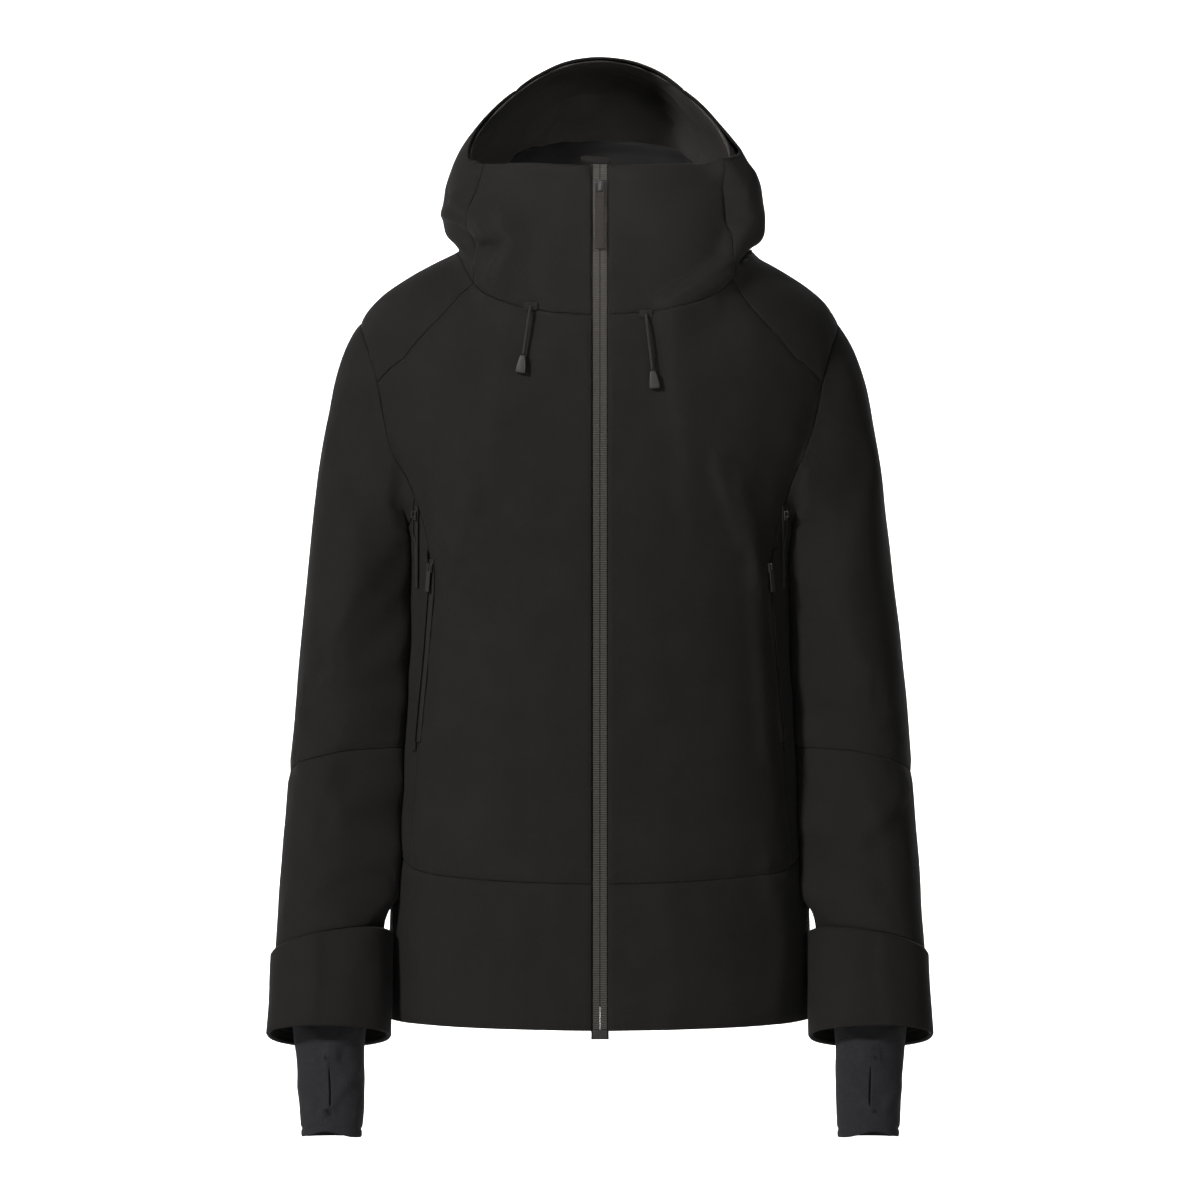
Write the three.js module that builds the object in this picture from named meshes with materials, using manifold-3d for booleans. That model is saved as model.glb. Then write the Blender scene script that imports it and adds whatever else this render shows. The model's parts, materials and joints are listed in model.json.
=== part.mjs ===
// Hooded ski jacket, zipped closed, arms hanging, as it keeps its shape on a hanger or a form.
// Millimetres, +Z up, front towards -Y, the wearer's left towards +X.
// Heights in the tables are measured up from a level just under the wrist gaiters. At the end
// everything is moved so that the origin is the top of the hanging loop inside the collar.
import * as THREE from 'three';
import Module from 'manifold-3d';
import { mergeVertices } from 'three/addons/utils/BufferGeometryUtils.js';

// ---------- driving dimensions ----------
const bodyScale = 1;            // girth of body and hood against the base size
const seamGap = 0.3;            // air kept between two pieces that are sewn together
const shellWall = 3;            // face fabric, membrane and batting of the body and sleeves
const liningWall = 1.5;         // quilted lining
const hoodWall = 2;
const hoodLiningWall = 1.3;
const hemWall = 5;              // folded hem with its facing
const cuffProud = 3.5;          // how far the cuff band stands out from the sleeve
const gaiterWall = 2;
const collarLiningWall = 6;     // padded inner collar
const squareness = 0.833;       // power of the sine and cosine in a cross-section

const frontNeck = 757;          // height of the collar seam at the zip
const frontLength = 648;        // from that seam to the hem
const collarHeight = 128;
const collarTop = frontNeck + collarHeight;
const frontHem = frontNeck - frontLength;
const sideHem = frontHem + 4;
const backHem = frontHem + 1;
const zipBottom = frontHem + 2; // lower end of the teeth
const zipTop = collarTop + 2;   // upper end of the teeth
const zipLineAtHem = -138;      // y of the zip's front at height 100
const zipLean = 0.03;           // the straight zip leans back by this much per mm of height
const tapeHalf = 6.9;           // half the width of the closed zip
const zipSlot = tapeHalf + seamGap;   // half the width of the slot between the front panels
const tapeWall = 2.4;
const sliderHeight = 14;
const sliderRest = zipTop - 22; // height of the main slider with the zip closed
const strapLength = 58;         // webbing pull of the main slider
const strapWidth = 9;
const hemSeamFront = 243;
const hemSeamBack = 250;

const pocketTop = 532;          // hand-pocket zip, along the side-front seam
const pocketBottom = 366;
const pocketTape = 6;
const weltWidth = 7;
const ventTop = 580;            // underarm vent zip
const ventBottom = 506;
const ventTape = 5;
const smallSlider = 0.62;       // size of the pocket and vent sliders against the main one

const cordDiameter = 2.8;       // hood drawcord
const loopWidth = 56;           // hanging loop
const loopHeight = 12;
const loopBand = 2.5;
const loopDepth = 4;

// Cross-sections of the body: height, half width, depth forwards, depth backwards.
const bodyRows = [
  [92, 195, 136, 136], [190, 195, 134, 134], [280, 188, 132, 128], [380, 181, 129, 120],
  [470, 177, 127, 118], [560, 184, 124, 122], [640, 205, 121, 126], [700, 217, 119, 124],
  [742, 222, 117, 114], [763, 217, 115, 106], [779, 203, 106, 100], [794, 181, 96, 96],
  [809, 149, 86, 92], [820, 118, 80, 88], [834, 96, 78, 84],
];
// Cross-sections of the sleeve below the armhole: centre x, y, z, half width, half depth.
const sleeveRows = [
  [228, 4, 498, 43.5, 68], [232, 3, 440, 46.5, 65], [235, 0, 380, 49, 62], [239, -12, 300, 49, 58],
  [244, -32, 235, 49, 54], [247, -50, 178, 49.5, 51], [249, -72, 99, 50.5, 49],
];
const elbowRow = [2.45, 0.21];  // place of the elbow seam, and how far it drops on the outside
const cuffRow = [4.94, 0.15];   // the same for the seam at the top of the cuff
// Wrist gaiter: centre x, y, z, half width, half depth.
const gaiterRows = [
  [247.1, -54, 166, 43.8, 43], [247, -60, 138, 36, 36], [246, -66, 106, 33.5, 33],
  [244.5, -70, 80, 32, 31.5], [243.5, -72, 54, 31, 30.5], [243, -74, 28, 30, 29], [243, -75, 8, 28.5, 28],
];

// ---------- small helpers ----------
const rad = THREE.MathUtils.degToRad;
const deg = THREE.MathUtils.radToDeg;
const mix = THREE.MathUtils.lerp;
const vec = (x, y, z) => new THREE.Vector3(x, y, z);
const smooth = (t) => { const k = Math.min(Math.max(t, 0), 1); return k * k * (3 - 2 * k); };
const power = (value, p) => Math.sign(value) * Math.abs(value) ** p;

// Smooth value of each column of a table at a key between its rows.
function rowAt(rows, key) {
  const last = rows.length - 1;
  let i = 0;
  while (i < last - 1 && key > rows[i + 1][0]) i++;
  const slope = (k, c) => {
    const a = rows[Math.max(k - 1, 0)], b = rows[Math.min(k + 1, last)];
    return (b[c] - a[c]) / (b[0] - a[0]);
  };
  const a = rows[i], b = rows[i + 1], step = b[0] - a[0];
  const t = Math.min(Math.max((key - a[0]) / step, -0.5), 1.5);
  const t2 = t * t, t3 = t2 * t;
  return a.map((value, c) => (2 * t3 - 3 * t2 + 1) * value + (t3 - 2 * t2 + t) * step * slope(i, c)
    + (3 * t2 - 2 * t3) * b[c] + (t3 - t2) * step * slope(i + 1, c));
}

const zipLine = (z) => zipLineAtHem + zipLean * (z - 100);
// How much further out the sleeves hang beside a wider body.
const besideBody = (z) => (bodyScale - 1) * rowAt(bodyRows, Math.max(z, sideHem))[1];

// ---------- surfaces ----------
// The body: angle round the trunk in degrees from the zip towards +X, and height.
function bodyPoint(angle, z) {
  const [, wide, ahead, behind] = rowAt(bodyRows, z);
  const s = Math.sin(rad(angle)), c = Math.cos(rad(angle));
  // The zip is straight: the front centre follows its line up to the collar seam.
  const front = mix(-zipLine(z), ahead, smooth((z - frontNeck) / 30));
  const y = c > 0 ? -front * c ** squareness : behind * bodyScale * (-c) ** squareness;
  return vec(wide * bodyScale * power(s, squareness), y, z);
}
// Angle on the front of the body whose point lies at a given x.
function angleAt(x, z) {
  const wide = rowAt(bodyRows, z)[1] * bodyScale;
  return deg(Math.asin(Math.min(Math.abs(x) / wide, 1) ** (1 / squareness))) * Math.sign(x);
}
const slotAngle = (z) => angleAt(zipSlot, z);

// Seams of the body as [angle, height] points, and the number of steps along each.
const seamTable = {
  neckFront: [[[slotAngle(frontNeck), frontNeck], [16, 762], [31, 785]], 3],
  yokeFront: [[[31, 785], [33.5, 752], [54.4, 712], [67.5, 690]], 3],
  neckSide: [[[31, 785], [45, 805], [62, 815], [90, 820], [125, 830], [150, 831]], 4],
  neckBack: [[[150, 831], [180, 832], [210, 831]], 8],
  armTop: [[[67.5, 690], [73, 730], [90, 752], [102, 748], [107, 738]], 4],
  armFront: [[[59.6, 591], [65, 625], [69, 660], [67.5, 690]], 3],
  armUnder: [[[59.6, 591], [72, 562], [90, 549], [108, 562], [120, 591]], 4],
  armBack: [[[120, 591], [113, 640], [112, 690]], 3],
  armRear: [[[112, 690], [107, 738]], 1],
  yokeBack: [[[112, 690], [140, 684], [180, 681], [220, 684], [248, 690]], 8],
  shoulderBack: [[[150, 831], [128, 800], [107, 738]], 3],
  sideFront: [[[62.8, 252], [62, 360], [60, 428], [58, 470], [54.5, 532], [59.6, 591]], 7],
  sideBack: [[[118, 264], [117, 360], [116, 470], [120, 591]], 7],
  hemFront: [[[slotAngle(hemSeamFront), hemSeamFront], [20, hemSeamFront], [36, 244],
    [53.5, 247], [62.8, 252]], 6],
  hemSide: [[[62.8, 252], [76, 266], [90, 275], [104, 272], [118, 264]], 4],
  hemBack: [[[118, 264], [150, 253], [180, hemSeamBack], [210, 253], [242, 264]], 8],
};
function seam(name, steps = seamTable[name][1], from = 0, to = 1) {
  const curve = new THREE.SplineCurve(seamTable[name][0].map((p) => new THREE.Vector2(...p)));
  const points = [];
  for (let k = 0; k <= steps; k++) {
    const p = curve.getPoint(mix(from, to, k / steps));
    points.push([p.x, p.y]);
  }
  return points;
}
const join = (...runs) => runs.flatMap((run, k) => (k ? run.slice(1) : run));
const back = (run) => [...run].reverse();
const other = (run) => run.map(([angle, z]) => [360 - angle, z]);   // the same seam on the -X side
function straight(from, to, steps) {
  return Array.from({ length: steps + 1 }, (_, k) =>
    [mix(from[0], to[0], k / steps), mix(from[1], to[1], k / steps)]);
}
// The edge beside the zip slot, with as many steps as the piece has rows.
function slotEdge(from, to, steps) {
  return straight([0, from], [0, to], steps).map(([, z]) => [slotAngle(z), z]);
}

// Grid of [u, v] points that fills four edges: bottom and top run along u, left and right along v.
function fill(bottom, top, left, right) {
  const n = bottom.length - 1, m = left.length - 1;
  const corner = (i, j, c) => (1 - i) * (1 - j) * bottom[0][c] + i * (1 - j) * bottom[n][c]
    + (1 - i) * j * top[0][c] + i * j * top[n][c];
  return bottom.map((_, i) => left.map((__, j) => [0, 1].map((c) => {
    const s = i / n, t = j / m;
    return (1 - t) * bottom[i][c] + t * top[i][c] + (1 - s) * left[j][c] + s * right[j][c]
      - corner(s, t, c);
  })));
}

// The armhole as a ring of body points, from the front top corner down and round.
const armRing = join(back(seam('armFront')), seam('armUnder'), seam('armBack'), seam('armRear'),
  back(seam('armTop')));
const ringSteps = armRing.length - 1;
// Where each ring point lies round the sleeve: 0 outside, 90 back, 180 inside, 270 front.
const ringAngles = [318, 296, 270, 236, 208, 180, 152, 124, 104, 86, 70, 50, 26, 0, -22];
const ringTurn = (i) => Math.floor(i / ringSteps);
const sleeveAngle = (i) => ringAngles[i - ringTurn(i) * ringSteps] - 360 * ringTurn(i);
const armPoint = (i) => bodyPoint(...armRing[i - ringTurn(i) * ringSteps]);

// A cross-section of a sleeve or gaiter, square to the line through its neighbours.
function tubePoint(rows, angle, place) {
  const k = Math.min(Math.max(place, 0), rows.length - 1);
  const keyed = rows.map((row, r) => [r, ...row]);
  const [, x, y, z, wide, deep] = rowAt(keyed, k);
  const [, , yA, zA] = rowAt(keyed, Math.max(k - 0.4, 0));
  const [, , yB, zB] = rowAt(keyed, Math.min(k + 0.4, rows.length - 1));
  const along = vec(0, yB - yA, zB - zA).normalize();
  const across = vec(0, -along.z, along.y);
  const c = power(Math.cos(rad(angle)), 0.9), s = power(Math.sin(rad(angle)), 0.9);
  return vec(x + besideBody(z) + wide * c, y, z).addScaledVector(across, deep * s);
}
// The sleeve: ring step i (a whole number at the armhole's own points) and place along it:
// -1 at the armhole, 0 at the first row of the table, then one per row.
const capShare = [0.6, 0.9, 0.07];   // how fast x, y and z leave the armhole for the sleeve
function sleevePoint(i, place) {
  const low = Math.floor(i), part = i - low;
  const angle = mix(sleeveAngle(low), sleeveAngle(low + 1), part);
  if (place >= 0) return tubePoint(sleeveRows, angle, place);
  const a = armPoint(low).lerp(armPoint(low + 1), part);
  const b = tubePoint(sleeveRows, angle, 0);
  const q = vec(mix(a.x, b.x, capShare[0]), mix(a.y, b.y, capShare[1]), mix(a.z, b.z, capShare[2]));
  const t = place + 1;
  return a.multiplyScalar((1 - t) ** 2).addScaledVector(q, 2 * t * (1 - t)).addScaledVector(b, t * t);
}

// ---------- cloth pieces ----------
// Outward normal of a surface by small steps.
function normalAt(surface, u, v, du, dv) {
  const along = surface(u + du, v).sub(surface(u - du, v));
  const up = surface(u, v + dv).sub(surface(u, v - dv));
  return along.cross(up).normalize();
}

// Points of a grid with a normal at each. The points of sewn edges move in by half a seam gap,
// straight towards their neighbours, so that every face stays in its own plane. hold is the side
// whose last corner stays where it is, at the end of an edge shared with another grid.
function layGrid(surface, grid, { sewn = 'lrbt', gap = seamGap / 2, du = 0.5, dv = 1, hold } = {}) {
  const n = grid.length - 1, m = grid[0].length - 1;
  const whole = grid.map((column) => column.map((uv) => (
    { at: surface(...uv), normal: normalAt(surface, ...uv, du, dv) })));
  return whole.map((column, i) => column.map((corner, j) => {
    const di = i === 0 && sewn.includes('l') ? 1 : i === n && sewn.includes('r') ? -1 : 0;
    const dj = j === 0 && sewn.includes('b') ? 1 : j === m && sewn.includes('t') ? -1 : 0;
    const held = j === m && ((hold === 'l' && i === 0) || (hold === 'r' && i === n));
    const at = corner.at.clone(), normal = corner.normal.clone();
    for (const [a, b] of [[di, 0], [0, dj]]) {
      if (held || (!a && !b)) continue;
      const next = whole[i + a][j + b];
      const share = gap / corner.at.distanceTo(next.at);
      at.addScaledVector(next.at.clone().sub(corner.at), share);
      normal.addScaledVector(next.normal.clone().sub(corner.normal), share);
    }
    return { at, normal };
  }));
}

// A closed wall from one or more laid grids. outer and inner are depths along the inward normal,
// as numbers or as functions of the grid place. open names the edges that get a rim, and rims
// holds the first and last row of a left or right edge that is open only in part.
function wall(blocks) {
  const triangles = [];
  const quad = (a, b, c, d, turned = false) => {
    for (const [p, q, r] of turned ? [[b, c, d], [b, d, a]] : [[a, b, c], [a, c, d]]) {
      if (p.distanceTo(q) > 1e-3 && q.distanceTo(r) > 1e-3 && p.distanceTo(r) > 1e-3) {
        triangles.push(p, q, r);
      }
    }
  };
  for (const { laid, outer = 0, inner, open = 'lrbt', rims = [0, Infinity] } of blocks) {
    const depth = (value, i, j) => (typeof value === 'function' ? value(i, j) : value);
    const side = (value) => laid.map((column, i) => column.map(({ at, normal }, j) =>
      at.clone().addScaledVector(normal, -depth(value, i, j))));
    const out = side(outer), into = side(inner);
    const n = laid.length - 1, m = laid[0].length - 1;
    for (let i = 0; i < n; i++) {
      for (let j = 0; j < m; j++) {
        // Each face is split along its shorter diagonal, so that linings split as their shells do.
        const turned = laid[i][j].at.distanceTo(laid[i + 1][j + 1].at)
          > laid[i + 1][j].at.distanceTo(laid[i][j + 1].at);
        quad(out[i][j], out[i + 1][j], out[i + 1][j + 1], out[i][j + 1], turned);
        quad(into[i][j], into[i][j + 1], into[i + 1][j + 1], into[i + 1][j], turned);
      }
      if (open.includes('b')) quad(out[i][0], into[i][0], into[i + 1][0], out[i + 1][0]);
      if (open.includes('t')) quad(out[i][m], out[i + 1][m], into[i + 1][m], into[i][m]);
    }
    for (let j = Math.max(rims[0], 0); j < Math.min(rims[1], m); j++) {
      if (open.includes('l')) quad(out[0][j], out[0][j + 1], into[0][j + 1], into[0][j]);
      if (open.includes('r')) quad(out[n][j], into[n][j], into[n][j + 1], out[n][j + 1]);
    }
  }
  const geometry = new THREE.BufferGeometry().setFromPoints(triangles);
  return mergeVertices(geometry, 1e-3);
}

// ---------- materials ----------
const material = (color, roughness, metalness = 0) =>
  new THREE.MeshStandardMaterial({ color, roughness, metalness });
const shellCloth = material(0x262422, 0.85);
const liningCloth = material(0x1f1e1e, 0.6);
const jersey = material(0x2e2e31, 0.95);
const zipCoil = material(0x4b4844, 0.5);
const zipMetal = material(0x2c2a29, 0.4, 0.8);
const webbing = material(0x3e3a38, 0.8);
const cordBraid = material(0x3a3837, 0.8);
const moulded = material(0x2b2a2a, 0.45);
const jacket = new THREE.Group();
jacket.name = 'ski_jacket';

function add(name, geometry, look, parent = jacket) {
  const mesh = new THREE.Mesh(geometry, look);
  mesh.name = name;
  parent.add(mesh);
  return mesh;
}
// The same piece mirrored to the -X side: points mirrored, faces turned.
function mirrored(geometry) {
  const copy = (geometry.index ? geometry.toNonIndexed() : geometry.clone());
  const p = copy.attributes.position;
  for (let k = 0; k < p.count; k += 3) {
    const points = [0, 2, 1].map((o) => [-p.getX(k + o), p.getY(k + o), p.getZ(k + o)]);
    points.forEach((xyz, o) => p.setXYZ(k + o, ...xyz));
  }
  copy.deleteAttribute('normal');
  copy.deleteAttribute('uv');
  return mergeVertices(copy, 1e-3);
}
function addPair(name, geometry, look) {
  add(`${name}_left`, geometry, look);
  add(`${name}_right`, mirrored(geometry), look);
}

// ---------- body shell ----------
const frontRows = seamTable.sideFront[1] + seamTable.armFront[1];
const grids = {
  front: fill(seam('hemFront'), join(seam('neckFront'), seam('yokeFront')),
    slotEdge(hemSeamFront, frontNeck, frontRows), join(seam('sideFront'), seam('armFront'))),
  side: fill(seam('hemSide'), seam('armUnder'), seam('sideFront'), seam('sideBack')),
  back: fill(seam('hemBack'), seam('yokeBack'), join(seam('sideBack'), seam('armBack')),
    other(join(seam('sideBack'), seam('armBack')))),
  shoulder: fill(seam('yokeFront'), seam('shoulderBack'), seam('neckSide'), seam('armTop')),
  yoke: fill(seam('yokeBack'), seam('neckBack'), join(seam('armRear'), back(seam('shoulderBack'))),
    other(join(seam('armRear'), back(seam('shoulderBack'))))),
  hemFront: fill(straight([slotAngle(frontHem), frontHem], [90, sideHem], 8),
    join(seam('hemFront'), seam('hemSide', 2, 0, 0.5)),
    slotEdge(frontHem, hemSeamFront, 2), straight([90, sideHem], [90, 275], 2)),
  hemBack: fill(join(straight([90, sideHem], [180, backHem], 6), straight([180, backHem],
    [270, sideHem], 6)),
  join(seam('hemSide', 2, 0.5, 1), seam('hemBack'), back(other(seam('hemSide', 2, 0.5, 1)))),
  straight([90, sideHem], [90, 275], 2), straight([270, sideHem], [270, 275], 2)),
};
const otherSide = (grid) => [...grid].reverse().map((column) =>
  column.map(([angle, z]) => [360 - angle, z]));
const laid = {};
// The long skewed seams over the shoulder take a wider gap.
const wideSeams = ['shoulder', 'yoke'];
for (const [name, grid] of Object.entries(grids)) {
  laid[name] = layGrid(bodyPoint, grid, { gap: wideSeams.includes(name) ? 3 * seamGap : seamGap / 2 });
}
const body = (name, inner = shellWall) => wall([{ laid: laid[name], inner }]);
addPair('front_panel', body('front'), shellCloth);
addPair('side_panel', body('side'), shellCloth);
add('back_panel', body('back'), shellCloth);
addPair('shoulder_yoke', body('shoulder'), shellCloth);
add('back_yoke', body('yoke'), shellCloth);
addPair('front_hem_panel', body('hemFront', hemWall), shellCloth);
add('back_hem_panel', body('hemBack', hemWall), shellCloth);

// ---------- body lining ----------
// The front lining stands off in the middle, where the pocket bag hangs behind it.
const bagFrom = [2, 1], bagTo = [5, 6];       // first and last grid places of the pocket bag
const bagWall = 2.6;
const underShell = shellWall + seamGap;
const inBag = (i, j) => i >= bagFrom[0] && i <= bagTo[0] && j >= bagFrom[1] && j <= bagTo[1];
const standOff = (i, j) => underShell + (inBag(i, j) ? bagWall + seamGap : 0);
addPair('front_lining', wall([{
  laid: laid.front, outer: standOff, inner: (i, j) => standOff(i, j) + liningWall,
}]), liningCloth);
// Linings of several panels in one: panels that share an edge meet there without a seam gap.
const lining = (grid, sewn, { open = sewn, hold, rims } = {}) => ({
  laid: layGrid(bodyPoint, grid, { sewn, hold, gap: seamGap }), outer: underShell,
  inner: underShell + liningWall, open, rims,
});
add('back_lining', wall([
  lining(grids.side, 'lbt', { hold: 'r' }), lining(otherSide(grids.side), 'rbt', { hold: 'l' }),
  lining(grids.back, 'bt', { open: 'lrbt', rims: [seamTable.sideBack[1], frontRows] }),
]), liningCloth);
add('shoulder_lining', wall([
  lining(grids.shoulder, 'lbr', { hold: 'r' }),
  lining(otherSide(grids.shoulder), 'lbr', { hold: 'l' }),
  lining(grids.yoke, 'bt', { open: 'lrbt', rims: [0, seamTable.armRear[1]] }),
]), liningCloth);

// ---------- sleeves ----------
const slanted = ([place, drop], i) => place + drop * Math.cos(rad(sleeveAngle(i)));
const elbow = (i) => slanted(elbowRow, i);
const cuffSeam = (i) => slanted(cuffRow, i);
const level = (place) => () => place;
const upperPlaces = [-1, -0.75, -0.5, -0.25, 0, 1].map(level);
const lowerPlaces = [3.4, 4.2].map(level);
const lastPlace = sleeveRows.length - 1;
function layTube(surface, places, { first = 0, sewn = 'bt', gap = seamGap / 2, slit } = {}) {
  const grid = Array.from({ length: ringSteps + 1 }, (_, i) => places.map((place) => {
    const open = slit ? slit(i, place(first + i)) : 0;
    return [first + i + open, place(first + i)];
  }));
  return layGrid(surface, grid, { sewn, gap, du: 0.05, dv: 0.02 });
}
const tube = (places, depths, options) =>
  wall([{ laid: layTube(sleevePoint, places, options), open: 'bt', ...depths }]);
addPair('upper_sleeve', tube([...upperPlaces, elbow], { inner: shellWall }), shellCloth);
addPair('forearm_sleeve', tube([elbow, ...lowerPlaces, cuffSeam], { inner: shellWall }), shellCloth);
addPair('cuff', tube([cuffSeam, level(5.5), level(lastPlace)],
  { outer: -cuffProud, inner: shellWall }), shellCloth);
addPair('sleeve_lining', tube([...upperPlaces, elbow, ...lowerPlaces, cuffSeam, level(5.5), level(5.9)],
  { outer: underShell, inner: underShell + liningWall }, { gap: seamGap }), liningCloth);

// ---------- wrist gaiters, with a thumb slit at the front ----------
const slitColumn = 2;           // ring step at the front of the wrist
const slitRows = [3, 5];        // gaiter rows at the slit's ends
const slitShare = 0.05;         // half the slit's width, as a share of a ring step
const gaiterPoint = (i, place) => {
  const low = Math.floor(i);
  return tubePoint(gaiterRows, mix(sleeveAngle(low), sleeveAngle(low + 1), i - low), place);
};
const slitAt = (i, place) => {
  if (i !== 0 && i !== ringSteps) return 0;
  const half = place > slitRows[0] && place < slitRows[1] ? slitShare : 0;
  return i ? -half : half;
};
const gaiterRun = (places, open, slit) => ({
  laid: layTube(gaiterPoint, places.map(level), { first: slitColumn, sewn: '', slit }),
  inner: gaiterWall, open,
});
addPair('wrist_gaiter', wall([
  gaiterRun([0, 1, 2, 3], 'b'), gaiterRun([3, 4, 5], 'lr', slitAt), gaiterRun([5, 6], 't'),
]), jersey);

// ---------- collar and hood ----------
// A smooth curve through points in space, by share of its length in points.
const through = (points) => {
  const curve = new THREE.CatmullRomCurve3(points, false, 'catmullrom', 0.5);
  return (t) => curve.getPoint(Math.min(Math.max(t, 0), 1));
};
function seamPoint(name, t) {
  const curve = new THREE.SplineCurve(seamTable[name][0].map((p) => new THREE.Vector2(...p)));
  const p = curve.getPoint(Math.min(Math.max(t, 0), 1));
  return bodyPoint(p.x, p.y);
}
const neckCorner = seamPoint('neckSide', 0);
const nape = seamPoint('neckBack', 0.5);
const g = bodyScale;
const overCollar = (x, y, rise) => vec(x * g, y, collarTop + rise);
const collarCorner = overCollar(108, -84, 4);
const apex = overCollar(0, -41, 106);
const collarSeam = through([neckCorner, overCollar(114, -94, -63), overCollar(113, -93, -23),
  collarCorner]);
const rim = through([collarCorner, overCollar(121, -65, 12), overCollar(113, -57, 36),
  overCollar(96, -50, 58), overCollar(70, -45, 81), overCollar(37, -42, 100), apex]);
const crown = through([nape, vec(0, 122, 846), overCollar(0, 150, 0), overCollar(0, 143, 45),
  overCollar(0, 100, 85), overCollar(0, 30, 106), apex]);
const hoodNeck = (s) => (s < 0.5 ? seamPoint('neckSide', 2 * s) : seamPoint('neckBack', s - 0.5));
function patchPoint(bottom, top, left, right, s, t) {
  return bottom(s).multiplyScalar(1 - t).addScaledVector(top(s), t)
    .addScaledVector(left(t), 1 - s).addScaledVector(right(t), s)
    .addScaledVector(bottom(0), -(1 - s) * (1 - t)).addScaledVector(bottom(1), -s * (1 - t))
    .addScaledVector(top(0), -(1 - s) * t).addScaledVector(top(1), -s * t);
}
const hoodBulge = 34;           // how far the hood's sides slump out over the shoulders
// The hood: s from the collar seam (0) over the middle (1) to the other side (2), t neck to rim.
function hoodPoint(s, t) {
  const half = s > 1 ? 2 - s : s;
  const p = patchPoint(hoodNeck, rim, collarSeam, crown, half, t);
  const share = Math.sin(Math.PI * Math.min(Math.max(half, 0), 1)) ** 0.6
    * Math.sin(Math.PI * Math.min(Math.max(t, 0), 1) ** 0.5);
  p.addScaledVector(vec(p.x, p.y - 20, 0).normalize(), hoodBulge * (share || 0));
  if (s > 1) p.x = -p.x;
  return p;
}
const hoodRows = 7, hoodSteps = 8, hoodSeamStep = 5;
const hoodGrid = (from, to) => Array.from({ length: to - from + 1 }, (_, i) =>
  Array.from({ length: hoodRows + 1 }, (__, j) => [(from + i) / hoodSteps, j / hoodRows]));
const layHood = (from, to, sewn, gap) =>
  layGrid(hoodPoint, hoodGrid(from, to), { sewn, gap, du: 0.01, dv: 0.01 });
addPair('hood_side', wall([{ laid: layHood(0, hoodSeamStep, 'lrb'), inner: hoodWall }]), shellCloth);
add('hood_centre', wall([{
  laid: layHood(hoodSeamStep, 2 * hoodSteps - hoodSeamStep, 'lrb'), inner: hoodWall,
}]), shellCloth);
const underHood = hoodWall + seamGap;
// The lining stands further off in the tight fold at the foot of each side.
const foldSteps = 2, foldRows = 2, foldRoom = 2.4;
const hoodStandOff = (i, j) => underHood
  + (Math.min(i, 2 * hoodSteps - i) <= foldSteps && j <= foldRows ? foldRoom : 0);
add('hood_lining', wall([{
  laid: layHood(0, 2 * hoodSteps, 'lrb', 4 * seamGap), outer: hoodStandOff,
  inner: (i, j) => hoodStandOff(i, j) + hoodLiningWall,
}]), liningCloth);

const collarTopEdge = through([vec(zipSlot, zipLine(collarTop), collarTop),
  overCollar(58, -111, 3), collarCorner]);
const collarZipEdge = (t) => {
  const z = mix(frontNeck, collarTop, t);
  return vec(zipSlot, zipLine(z), z);
};
const collarPoint = (s, t) => patchPoint((k) => seamPoint('neckFront', k), collarTopEdge,
  collarZipEdge, collarSeam, s, t);
const collarSteps = seamTable.neckFront[1];
const collarGrid = Array.from({ length: collarSteps + 1 }, (_, i) =>
  Array.from({ length: hoodRows + 1 }, (__, j) => [i / collarSteps, j / hoodRows]));
addPair('collar_front', wall([{
  laid: layGrid(collarPoint, collarGrid, { sewn: 'lrb', gap: 2 * seamGap, du: 0.01, dv: 0.01 }),
  inner: shellWall,
}]), shellCloth);

// Padded inner collar: a ring just inside, higher at the back. Heights of its lower and upper edge
// at the zip, and how much they rise towards the sides and the back.
const innerWide = 97 * g, innerBack = 72;
const innerLow = { zip: 769, sides: 56, rear: 8 };
const innerHigh = { zip: collarTop - 2, sides: 4, rear: 36 };
const behindTape = 2.2 * seamGap;
function innerCollarPoint(angle, w) {
  const side = smooth((Math.min(angle, 360 - angle) - 8) / 82);
  const rear = smooth((Math.min(angle, 360 - angle) - 70) / 90);
  const edge = ({ zip, sides, rear: lift }) => zip + sides * side + lift * rear;
  const z = mix(edge(innerLow), edge(innerHigh), w);
  const s = Math.sin(rad(angle)), c = Math.cos(rad(angle));
  const front = -zipLine(z) - tapeWall - behindTape;
  const y = c > 0 ? -front * c ** 0.9 : (innerBack - 14 * w) * (-c) ** 0.9;
  return vec((innerWide - 3 * w) * power(s, 0.9), y, z);
}
const ringStart = 0.6, innerSteps = 2 * Math.round(8 * bodyScale);
const innerGrid = Array.from({ length: innerSteps + 1 }, (_, i) =>
  Array.from({ length: 4 }, (__, j) => [mix(ringStart, 360 - ringStart, i / innerSteps), j / 3]));
add('inner_collar', wall([{
  laid: layGrid(innerCollarPoint, innerGrid, { sewn: '', du: 0.2, dv: 0.01 }),
  inner: collarLiningWall,
}]), liningCloth);

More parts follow.
